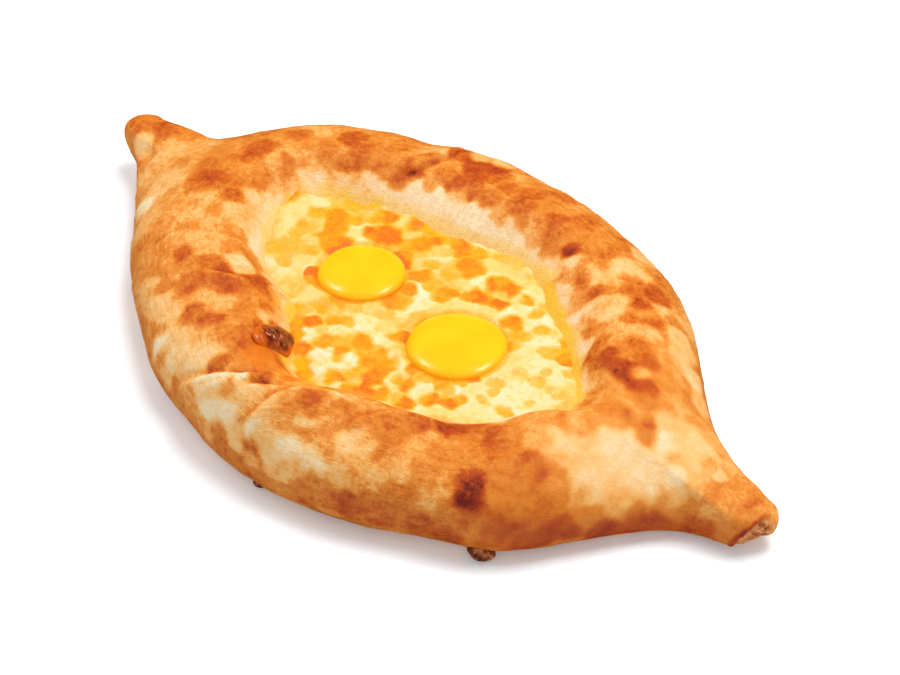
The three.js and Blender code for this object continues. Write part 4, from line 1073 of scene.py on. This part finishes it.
# %% [markdown]
# ## The cheese
#
# The cheese melted, spread against the wall and set again with a skin. It is white where egg white set in it,
# yellow where butter soaked in and orange where it toasted. Its form could come from a cloth or fluid
# simulation, but a level surface with soft swells is all that it has. So it is a disc that reaches a little
# into the bread wall all round, raised by swells, by a collar round each yolk, and by the skin's own texture.

# %% Sizes of the filling
CHEESE_COLUMNS, CHEESE_ROWS, CHEESE_OVER = 460, 200, 6
CROWDING = 1.25  # over 1 the rows crowd towards the edge
FOOT_SHARE, FOOT_OVER_FLOOR = 0.9, 0.5
# along, across, radius, height
CHEESE_SWELLS = [
    (-79, 16, 9, 3.2), (80, 3, 8, 1.6), (-52, 12, 14, 1.2), (2, 26, 14, 1.4), (2, -28, 15, 1.2),
    (58, 8, 14, 1.0),
]
COLLAR_AWAY, COLLAR_WIDTH, COLLAR_HEIGHT = 2.5, 3.5, 1.0
YOLKS = {"yolk_left": (-24.0, 3.7, 17.2), "yolk_right": (32.3, -2.9, 19.1)}
CREEP_TO, COVER_FROM, COVER_TO = 4.5, (-1, 1.5), (-1.0, 1.2)
YOLK_DIMPLE, POOL_DIMPLE = 2.2, 0.4

# %% Dabs of the cheese
# across, down, radius, level: 0 is white, 0.5 is yellow and 1 is toasted brown
TOASTED = np.array([
    (290, 195, 6, 0.8), (300, 206, 9, 0.12), (318, 203, 6, 0.08), (292, 225, 8, 0.1), (318, 213, 6, 0.55),
    (335, 215, 7, 0.78), (340, 222, 6, 0.75), (333, 230, 7, 0.75), (325, 238, 7, 0.72), (340, 240, 6, 0.86),
    (335, 247, 6, 0.8), (345, 228, 4, 0.6), (303, 225, 5, 0.5), (297, 232, 5, 0.45), (312, 228, 6, 0.3),
    (318, 221, 6, 0.24), (370, 214, 6, 0.3), (355, 205, 6, 0.48), (372, 205, 6, 0.5), (357, 231, 8, 0.12),
    (355, 221, 5, 0.5), (385, 235, 9, 0.88), (395, 240, 7, 0.9), (375, 217, 5, 0.6), (390, 218, 5, 0.8),
    (285, 245, 6, 0.45), (310, 249, 5, 0.45), (312, 240, 5, 0.25), (286, 262, 4, 0.42), (300, 264, 7, 0.14),
    (285, 273, 8, 0.1), (313, 272, 4, 1.02), (310, 280, 4, 0.7), (318, 285, 4, 0.6), (290, 280, 6, 0.3),
    (300, 286, 6, 0.34), (310, 290, 7, 0.18), (316, 297, 6, 0.15), (318, 303, 5, 0.3), (340, 301, 5, 0.68),
    (355, 301, 5, 0.62), (390, 298, 7, 0.8), (398, 305, 6, 0.8), (410, 290, 4, 0.86), (405, 300, 5, 0.6),
    (396, 288, 5, 0.66), (408, 264, 4, 0.8), (404, 255, 4, 0.7), (421, 275, 6, 0.8), (418, 265, 5, 0.3),
    (355, 306, 5, 0.35), (375, 308, 7, 0.2), (330, 312, 5, 0.3), (300, 310, 5, 0.42), (310, 312, 5, 0.25),
    (295, 318, 4, 0.5), (415, 225, 6, 0.78), (404, 222, 5, 0.3), (412, 235, 6, 0.3), (420, 243, 7, 0.76),
    (410, 247, 5, 0.6), (437, 240, 4, 0.82), (432, 232, 5, 0.6), (450, 238, 5, 0.6), (458, 246, 5, 0.76),
    (463, 252, 6, 0.82), (432, 265, 4, 0.45), (446, 250, 6, 0.3), (468, 266, 7, 0.8), (475, 272, 6, 0.7),
    (452, 274, 6, 0.45), (450, 292, 5, 0.7), (434, 286, 5, 0.5), (456, 285, 4, 0.3), (478, 297, 6, 0.9),
    (469, 296, 5, 0.72), (492, 284, 5, 0.84), (500, 283, 4, 0.65), (512, 290, 7, 0.82), (498, 305, 5, 0.96),
    (504, 296, 4, 0.4), (526, 300, 4, 0.65), (513, 322, 6, 0.84), (517, 328, 4, 0.7), (480, 280, 6, 0.08),
    (462, 285, 6, 0.15), (420, 300, 10, 0.02), (410, 306, 7, 0.03), (450, 305, 8, 0.15), (470, 308, 7, 0.15),
    (487, 311, 6, 0.2), (520, 310, 7, 0.12), (530, 290, 6, 0.12), (541, 296, 6, 0.1), (500, 271, 7, 0.22),
    (525, 279, 6, 0.2), (519, 300, 4, 0.2), (528, 325, 7, 0.1), (536, 315, 4, 0.46), (542, 331, 4, 0.42),
    (550, 322, 5, 0.05), (545, 344, 9, 0.05), (520, 336, 5, 0.32), (525, 350, 7, 0.08), (320, 305, 5, 0.45),
    (312, 322, 5, 0.86), (335, 322, 5, 0.6), (346, 322, 5, 0.55), (360, 324, 8, 0.06), (386, 315, 5, 0.35),
    (402, 311, 7, 0.08), (308, 336, 6, 0.12), (320, 332, 5, 0.26), (340, 330, 6, 0.15), (386, 328, 6, 0.2),
    (325, 342, 5, 0.6), (340, 342, 6, 0.5), (341, 351, 5, 0.7), (338, 358, 4, 0.6), (363, 342, 6, 0.68),
    (378, 339, 6, 0.08), (387, 345, 5, 0.1), (322, 352, 7, 0.06), (334, 366, 7, 0.08), (346, 360, 6, 0.1),
    (346, 368, 6, 0.12), (320, 370, 6, 0.08), (318, 378, 5, 0.14), (395, 352, 5, 0.15), (399, 376, 6, 0.08),
    (392, 386, 6, 0.08), (396, 395, 6, 0.1), (400, 364, 5, 0.12), (380, 354, 6, 0.62), (390, 362, 5, 0.6),
    (385, 369, 6, 0.76), (370, 362, 6, 0.7), (375, 375, 5, 0.84), (372, 382, 5, 0.86), (368, 389, 5, 0.9),
    (361, 393, 5, 0.86), (358, 372, 4, 0.5), (356, 384, 5, 0.4), (340, 378, 4, 0.76), (334, 384, 4, 0.2),
    (328, 375, 5, 0.62), (331, 380, 4, 0.7), (350, 388, 5, 0.7), (356, 396, 5, 0.45), (346, 374, 4, 0.5),
    (375, 387, 3, 0.25), (404, 386, 6, 0.76), (399, 381, 4, 0.6), (411, 384, 4, 0.6), (418, 387, 6, 0.05),
    (415, 396, 6, 0.06), (426, 392, 5, 0.1), (395, 338, 5, 0.7), (403, 336, 4, 0.76), (398, 347, 4, 0.3),
    (432, 399, 6, 0.84), (450, 402, 6, 0.9), (458, 400, 4, 0.76), (424, 400, 4, 0.5), (446, 392, 5, 0.3),
    (441, 383, 5, 0.5), (462, 383, 4, 0.5), (474, 380, 3, 0.82), (470, 392, 6, 0.18), (482, 394, 6, 0.1),
    (495, 393, 3, 0.4), (497, 384, 4, 0.38), (483, 400, 3, 0.32), (503, 412, 5, 0.5), (520, 373, 3, 0.28),
    (530, 405, 3, 0.28), (537, 383, 4, 0.34), (547, 374, 3, 0.3), (550, 392, 3, 0.3), (559, 396, 3, 0.32),
    (505, 400, 8, 0.05), (522, 390, 8, 0.05), (545, 400, 9, 0.06), (537, 366, 9, 0.06), (558, 378, 8, 0.08),
    (475, 410, 7, 0.1), (500, 373, 6, 0.12), (525, 408, 7, 0.07), (545, 352, 5, 0.42), (555, 353, 5, 0.5),
    (563, 357, 4, 0.7), (568, 362, 4, 0.76), (567, 345, 5, 0.6), (570, 375, 4, 0.4), (440, 410, 5, 0.16),
    (455, 413, 5, 0.14), (490, 415, 6, 0.1), (405, 402, 5, 0.6), (382, 393, 5, 0.45), (412, 368, 5, 0.58),
    (440, 297, 5, 0.55), (417, 315, 5, 0.35), (325, 310, 5, 0.5), (462, 392, 5, 0.15), (297, 335, 4, 0.75),
    (295, 326, 4, 0.6), (301, 350, 5, 0.65), (303, 361, 4, 0.55), (303, 373, 5, 0.72), (308, 382, 4, 0.6),
    (370, 232, 5, 0.62), (425, 380, 4, 0.4), (395, 398, 4, 0.35), (515, 345, 5, 0.35), (480, 255, 4, 0.45),
])
# change of level: where it is strongest as across, down and reach
TOASTIER = {
    -0.15: [(460, 395, 7), (462, 396, 6), (507, 313, 7)],
    -0.1: [(462, 396, 6)],
    0.05: [(350, 345, 10)],
    0.06: [
        (325, 330, 8), (330, 310, 8), (345, 225, 10), (350, 215, 10), (385, 240, 14), (400, 235, 10),
        (415, 310, 8),
    ],
    0.08: [
        (300, 305, 8), (320, 310, 8), (375, 235, 12), (400, 372, 8), (435, 300, 8), (440, 255, 8),
        (450, 297, 8),
    ],
    0.1: [
        (285, 290, 6), (290, 325, 6), (300, 320, 6), (300, 330, 8), (305, 355, 6), (370, 240, 10),
        (425, 385, 6), (435, 385, 6), (437, 297, 6), (470, 280, 6),
    ],
    0.12: [(468, 282, 6), (510, 355, 6)],
    0.15: [
        (290, 320, 5), (385, 395, 6), (390, 400, 7), (405, 380, 6), (415, 370, 6), (415, 402, 6),
        (430, 378, 7),
    ],
    0.2: [(370, 225, 8), (370, 240, 8), (405, 400, 7), (405, 402, 8), (480, 255, 6), (510, 358, 7)],
    0.25: [(300, 350, 7), (385, 388, 8), (520, 340, 7)],
}
# pools of butter: across, down, radius, depth
POOLS = np.array([
    (345, 203, 7, 0.7), (360, 204, 7, 0.8), (374, 204, 6, 0.8), (430, 228, 5, 0.7), (441, 233, 6, 0.8),
    (451, 241, 5, 0.6), (475, 252, 5, 0.6), (490, 256, 5, 0.6), (504, 257, 5, 0.6), (522, 267, 5, 0.8),
    (532, 276, 5, 0.8), (542, 285, 5, 0.9), (548, 297, 5, 0.9), (552, 310, 5, 0.9), (556, 325, 4, 0.7),
    (564, 338, 4, 0.7), (567, 350, 5, 0.8), (283, 205, 4, 0.7), (280, 220, 4, 0.5), (276, 240, 4, 0.5),
    (272, 256, 4, 0.5), (268, 270, 4, 0.5), (291, 296, 5, 0.7), (294, 308, 6, 0.7), (297, 322, 5, 0.6),
    (301, 350, 5, 0.8), (305, 360, 6, 0.9), (306, 370, 5, 0.8), (296, 363, 7, 0.9), (330, 379, 5, 0.5),
    (386, 400, 4, 0.6), (399, 402, 4, 0.6), (412, 405, 4, 0.6), (420, 246, 4, 0.3), (505, 386, 3, 0.3),
    (297, 335, 6, 0.7), (303, 373, 6, 0.8), (470, 405, 3, 0.3), (447, 397, 3, 0.3), (537, 384, 3, 0.3),
    (550, 392, 3, 0.3), (520, 374, 3, 0.25), (315, 380, 7, 0.8), (311, 386, 6, 0.8), (290, 296, 6, 0.6),
    (326, 388, 5, 0.5),
])

# %% Cheese surface
angles = np.linspace(0, TAU, CHEESE_COLUMNS, endpoint=False)
sizes = section_sizes(angles)
edge = sizes["lip"] + sizes["out"] * CHEESE_OVER
shares = 1 - (np.arange(CHEESE_ROWS) / CHEESE_ROWS) ** CROWDING
disc = edge[:, None, :] * shares[:, None]
flat = np.concatenate([disc, np.full(disc.shape[:2] + (1,), LEVEL)], -1)


def cheese_height(x, y):
    """Level plus a bell for each swell, plus a ring-shaped bell round each yolk."""
    height = LEVEL
    for along, across, radius, rise in CHEESE_SWELLS:
        height = height + rise * bell(np.hypot(x - along, y - across), radius)
    for along, across, radius in YOLKS.values():
        ring = np.hypot(x - along, y - across) - radius - COLLAR_AWAY
        height = height + COLLAR_HEIGHT * bell(ring, COLLAR_WIDTH)
    return height


from_edge = np.linalg.norm(disc - edge[:, None, :], axis=-1) - CHEESE_OVER
creeping = 0.5 + 1.5 * cloud(flat, 6.5, 3.7) + 0.5 * cloud(flat, 2.6, 5.1)
creeping = creeping * (1 - smooth(0, CREEP_TO, from_edge))
level_cheese = np.concatenate([disc, (cheese_height(*np.moveaxis(disc, -1, 0)) + creeping)[..., None]], -1)
yolk_gap = np.min([np.hypot(disc[..., 0] - x, disc[..., 1] - y) - r for x, y, r in YOLKS.values()], axis=0)

warped = frayed(frayed(level_cheese, 1.0, 4.3), 0.5, 1.9)
toasted = laid_on(level_cheese, touched_up(TOASTED, TOASTIER))
toast = patched(warped, toasted, 0.24 + 0.2 * cloud(flat, 8), 0.003, 1.02)
# the ring of darker orange round each yolk is painted shade where the yolk sits in the cheese
toast = toast + 0.7 * (toast - blurred(toast, 8)) + 0.3 * bell(yolk_gap - 0.3, 1.3)
toast = toast + (0.08 * cloud(flat, 3.2, 6.1) + 0.05 * cloud(flat, 1.6, 2.6)) * smooth(0.08, 0.35, toast)
pool = np.clip(heaped(warped, laid_on(level_cheese, POOLS)), 0, 1)

# curds stand up where the cheese is white and where it is toasted
curds = 0.5 * smooth(0.34, 0.1, toast) + 0.5 * smooth(0.62, 0.9, toast)
skin = 0.3 * cloud(flat, 5.5, 2.4) + 0.18 * cloud(flat, 2.4, 7.2) + 0.07 * cloud(flat, 1.2, 1.1)
texture = (curds + skin) * smooth(*COVER_FROM, from_edge) * smooth(*COVER_TO, yolk_gap) * (1 - pool)
under_yolk = YOLK_DIMPLE * smooth(-1.0, -4.0, yolk_gap)
height = level_cheese[..., 2] + texture - under_yolk - POOL_DIMPLE * pool
top = np.concatenate([disc, height[..., None]], -1)
foot_height = FLOOR + FOOT_OVER_FLOOR
foot = np.concatenate([edge * FOOT_SHARE, np.full((CHEESE_COLUMNS, 1), foot_height)], -1)[:, None]
cheese_grid = np.concatenate([foot, top], 1)
print("cheese from", height.min().round(1), "to", height.max().round(1), "mm high")

# %% [markdown]
# ## The cheese's finish
#
# Melted cheese is milky: light goes in and spreads, so its subsurface is stronger than the bread's. One ramp
# over the toast level runs from cream over butter yellow to toasted orange, and the level also carries a ring
# of painted shade round each yolk. Oil makes it shine almost everywhere, more in the pools than on the dry
# toasted spots.

# %% Cheese finish
cheese = Finish(
    "melted_cheese", Subsurface_Weight=0.2, Subsurface_Radius=(1.0, 0.7, 0.3), Subsurface_Scale=0.002,
    Specular_IOR_Level=0.4,
)
toast_and_shade_level = cheese.attribute("toast")
pool_level = cheese.attribute("pool")
mottle = (cheese.noise(2.6, 3.0, 0.6) - 0.5) * 0.5 + (cheese.noise(0.9, 2.0, 0.6) - 0.5) * 0.3
toned = toast_and_shade_level + mottle * (toast_and_shade_level.between(0.08, 0.3) * 0.88 + 0.12)
tone = cheese.ramp(toned, [
    (0.00, paint(240, 212, 172)),
    (0.14, paint(240, 196, 116)),
    (0.32, paint(235, 174, 74)),
    (0.50, paint(231, 164, 37)),
    (0.66, paint(234, 146, 11)),
    (0.82, paint(225, 131, 3)),
    (0.94, paint(218, 110, 1)),
    (1.00, paint(212, 106, 2)),
])
dimples = cheese.noise(2.6, 1.0).between(0.57, 0.64) * (1 - toned.between(0.08, 0.25))
tone = cheese.blend(dimples * 0.55, tone, paint(226, 190, 84))
colour = cheese.blend(pool_level * 0.85, tone, paint(236, 166, 16))
rough = 0.34 - pool_level * 0.24 + toast_and_shade_level.between(0.5, 1.0) * 0.12
cheese.use(Base_Color=colour, Roughness=rough, Normal=cheese.bump(cheese.noise(1.1, 3.0, 0.6), 0.22))

cheese_levels = {"toast": with_base(np.clip(toast, 0, 1)), "pool": with_base(pool)}
middle = (0, 0, top[:, -1, 2].mean())
cheese_mesh = closed_mesh("cheese_mesh", cheese_grid, (0, 0, foot_height), middle, **cheese_levels)
add_piece("cheese_filling", cheese_mesh, cheese, ["cheese"])

# %% [markdown]
# ## The yolks
#
# Each yolk is a thin skin full of liquid that has sagged into a low dome with a round shoulder. A scaled
# sphere would be too high in the middle, so the profile is a superellipse: wide and flat on top, steep at the
# edge. The outline is left a little uneven, and the right yolk has a shallow wrinkle in its skin.

# %% Yolk surfaces
YOLK_COLUMNS, YOLK_ROWS = 160, 60
YOLK_RISE, YOLK_SINK = 4.8, 5.0
YOLK_PLAN, YOLK_ROUND = 3.2, 2.0
UNEVEN_RIM, UNEVEN_TOP = 0.35, 0.12


def yolk_grid(x, y, radius):
    """Turns run from a quarter circle below to a quarter above: across = radius cos^(2/plan) and
    height = rise sin^(2/round), with the outline swelling by a third of a millimetre of noise."""
    angle = np.linspace(0, TAU, YOLK_COLUMNS, endpoint=False)[:, None]
    turn = np.linspace(-np.pi / 2, np.pi / 2, YOLK_ROWS + 2)[1:-1]
    across = radius * np.cos(turn) ** (2 / YOLK_PLAN) * np.ones_like(angle)
    rim = np.stack([x + radius * np.cos(angle), y + radius * np.sin(angle), np.zeros_like(angle)], -1)
    across = across + UNEVEN_RIM * cloud(rim, 11) * (across / radius) ** 4
    rise = np.abs(np.sin(turn)) ** (2 / YOLK_ROUND)
    height = LEVEL + np.where(turn > 0, YOLK_RISE * rise, -YOLK_SINK * rise) * np.ones_like(angle)
    return np.stack([x + across * np.cos(angle), y + across * np.sin(angle), height], -1)


def add_yolk(name, x, y, radius, wrinkle=None):
    """The yolk's grid with slow swells on its upper side, and a wrinkle like a very low fold."""
    grid = yolk_grid(x, y, radius)
    upper = smooth(LEVEL + 2, LEVEL + 4, grid[..., 2])
    grid[..., 2] += UNEVEN_TOP * cloud(grid, 9, 4.2) * upper
    if wrinkle:
        grid[..., 2] += fold_height(grid[..., :2], *wrinkle) * upper
    rim = 1 - smooth(LEVEL + 0.5, LEVEL + 3.6, grid[..., 2])
    low, high = (x, y, LEVEL - YOLK_SINK), (x, y, grid[:, -1, 2].mean())
    mesh = closed_mesh(name + "_mesh", grid, low, high, rim=rim)
    add_piece(name + "_skin", mesh, yolk, [name])


# %% [markdown]
# ## The yolk's finish
#
# A yolk is deep yellow all through, with a moist skin. Most of its look is even colour and a strong
# subsurface, helped by a faint painted glow, an emission that lightens its shaded side though a yolk gives no
# light, and a soft sheen that shows the panels.
# Low on the yolk, towards the rim where it sits in the cheese, the yellow turns to orange, so the height over
# the cheese blends between the two.

# %% Yolk finish
# the emission is a painted glow: it evens out the yolk's shading, since a yolk gives no light of its own
yolk = Finish(
    "yolk", Roughness=0.26, Subsurface_Weight=0.35, Subsurface_Radius=(1.0, 0.6, 0.1), Subsurface_Scale=0.004,
    Specular_IOR_Level=0.45, Emission_Color=paint(255, 196, 10), Emission_Strength=0.14,
)
rim_level = yolk.attribute("rim")
clouded = yolk.noise(14.0, 1.0)
deep = yolk.blend(clouded.between(0.35, 0.65), paint(220, 172, 8), paint(224, 180, 14))
orange = yolk.blend(rim_level * rim_level, deep, paint(224, 142, 6))
yolk.use(Base_Color=orange, Normal=yolk.bump(yolk.noise(5.0, 1.0), 0.06))
# points of the line, height, depth of the groove, reach, half width
wrinkle = ([(38, -1), (34, -5), (32, -10), (33, -15)], 0.25, 0.3, 5, 1.2)
add_yolk("yolk_left", *YOLKS["yolk_left"])
add_yolk("yolk_right", *YOLKS["yolk_right"], wrinkle)

# %% [markdown]
# ## The scorched cheese
#
# On the left rim some cheese boiled over, blistered and burnt to a dark glaze. It is a long flat blister that
# clings to the wall of the rim. An ellipsoid with its long axis down the wall gives its place and size, and
# noise along the normal its boiled skin. It is as dark and wet as caramel, and its edges thin out to amber.
# On its upper part pale flecks are painted into its colour: froth, and painted highlights that stand for
# glints.

# %% Scorched blister
BLISTER_AT, BLISTER_RADII = np.array([-14.6, -51, 29.8]), np.array([14.8, 6.8, 3.2])
BLISTER_ALONG, BLISTER_OUT = np.array([-0.13, 0.77, -0.62]), np.array([0.56, 0.55, 0.62])


def ball(columns, rows):
    """Unit ball: columns round the axis z, rows from the lower to the upper pole, without the poles. x and y
    are cos and sin of the angle times cos of the turn, and z is sin of the turn."""
    angle = np.linspace(0, TAU, columns, endpoint=False)[:, None]
    turn = np.linspace(-np.pi / 2, np.pi / 2, rows + 2)[1:-1]
    across = np.cos(turn)
    return np.stack([np.cos(angle) * across, np.sin(angle) * across, np.sin(turn) + 0 * angle], -1)


along = BLISTER_ALONG / np.linalg.norm(BLISTER_ALONG)
across = np.cross(BLISTER_OUT, along)
across = across / np.linalg.norm(across)
blister_axes = np.stack([along, across, np.cross(along, across)])
unit = ball(170, 120)
blister_grid = BLISTER_AT + (unit * BLISTER_RADII) @ blister_axes
boiled = 0.4 * cloud(blister_grid, 5.0, 1.9) + 0.25 * np.abs(cloud(blister_grid, 2.4, 5.3))
blister_grid = blister_grid + normals(blister_grid) * (boiled * smooth(-0.1, 0.4, unit[..., 2]))[..., None]
ragged = cloud(blister_grid, 4.0, 6.6)
thin_edge = 1 - smooth(0.25, 0.9, unit[..., 2] + 0.3 * ragged)
# the band on the upper part where pale flecks are painted: froth, and painted highlights for glints
froth = bell(unit[..., 1] - 0.1, 0.5) * (1 - smooth(0.1, 0.6, unit[..., 0])) * smooth(0.3, 0.7, unit[..., 2])
poles = [BLISTER_AT + side * BLISTER_RADII[2] * blister_axes[2] for side in (-1, 1)]

# %% Blister finish
scorched = Finish(
    "scorched_cheese", Roughness=0.28, Specular_IOR_Level=0.2, Coat_Weight=0.3, Coat_Roughness=0.12,
)
burnt = scorched.ramp(scorched.noise(3.5, 3.0, 0.6), [
    (0.34, paint(64, 12, 6)),
    (0.50, paint(108, 28, 8)),
    (0.66, paint(168, 62, 12)),
])
glazed = scorched.blend(scorched.attribute("thin_edge"), burnt, paint(206, 98, 14))
# pale flecks in the colour: froth, and painted highlights that stand for glints
painted_glints = scorched.noise(2.2, 1.0).between(0.60, 0.66)
glinted_glaze = scorched.blend(painted_glints * scorched.attribute("froth") * 0.7, glazed, paint(226, 166, 150))
scorched.use(Base_Color=glinted_glaze, Normal=scorched.bump(scorched.noise(2.4, 1.0), 0.25))
blister_mesh = closed_mesh("blister_mesh", blister_grid, *poles, thin_edge=thin_edge, froth=froth)
add_piece("scorched_blister", blister_mesh, scorched, ["scorched_cheese"])

# %% [markdown]
# ## Burnt drips
#
# Two drops of filling ran out under the near side and burnt on to the tray. They are small lumps, so a ball
# squeezed to size and roughened by noise is enough.

# %% Drips
LOWEST = 0.05  # a drip stays just over the table
DRIPS = {"drip_large": ((97, -58.8, 2.8), (5, 4.5, 2.6)), "drip_small": ((14.9, -86.8, 2.2), (2.6, 3.0, 2.0))}

drip_finish = Finish("burnt_drip", Roughness=0.25)
dark = drip_finish.ramp(drip_finish.noise(2.4, 2.0), [
    (0.38, paint(92, 42, 20)),
    (0.52, paint(150, 80, 42)),
    (0.66, paint(204, 134, 86)),
])
drip_finish.use(Base_Color=dark, Normal=drip_finish.bump(drip_finish.noise(0.9, 2.0), 0.3))
for name, (at, radii) in DRIPS.items():
    grid = np.array(at) + ball(60, 40) * radii
    grid = grid + normals(grid) * (0.7 * cloud(grid, 3.2) + 0.15 * cloud(grid, 1.2))[..., None]
    grid[..., 2] = np.maximum(grid[..., 2], LOWEST)
    ends = [(at[0], at[1], max(at[2] - radii[2], LOWEST)), (at[0], at[1], at[2] + radii[2])]
    add_piece(name, closed_mesh(name + "_mesh", grid, *ends), drip_finish)

# %% [markdown]
# ## The table
#
# A plain white sheet that also glows a little, so that shadows stay short and pale. Every lamp near food also
# brightens its table, but a glow does so evenly. It isn't part of the bread, so it is marked as stage.

# %% Table
HALF = 4
table = bpy.data.meshes.new("table")
corners = [(-HALF, -HALF, 0), (HALF, -HALF, 0), (HALF, HALF, 0), (-HALF, HALF, 0)]
table.from_pydata(corners, [], [(0, 1, 2, 3)])
table_top = bpy.data.objects.new("table", table)
table_top.visible_glossy = False
bpy.context.collection.objects.link(table_top)
white = Finish(
    "white_table", Base_Color=(0.80, 0.84, 0.865, 1), Roughness=0.9, Specular_IOR_Level=0.0,
    Emission_Color=(1, 1, 1, 1), Emission_Strength=0.16,
)
table.materials.append(white.material)
table_top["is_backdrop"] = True

# %% [markdown]
# ## Sizes of the dressed bread
#
# The box of the dressed bread is measured against the box of the imported solids, and how far their corners
# differ is printed. The dressed bread has to stay inside the box of the imported solids, apart from a few
# millimetres.

# %% Measure and finish
boxes = {"cad": [list(corner) for corner in CAD_BOX], "visual": [list(corner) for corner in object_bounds()]}
growth = (np.array(boxes["visual"]) - np.array(boxes["cad"])) / MM
print("lowest and highest corner moved by", growth.round(2).tolist(), "mm")
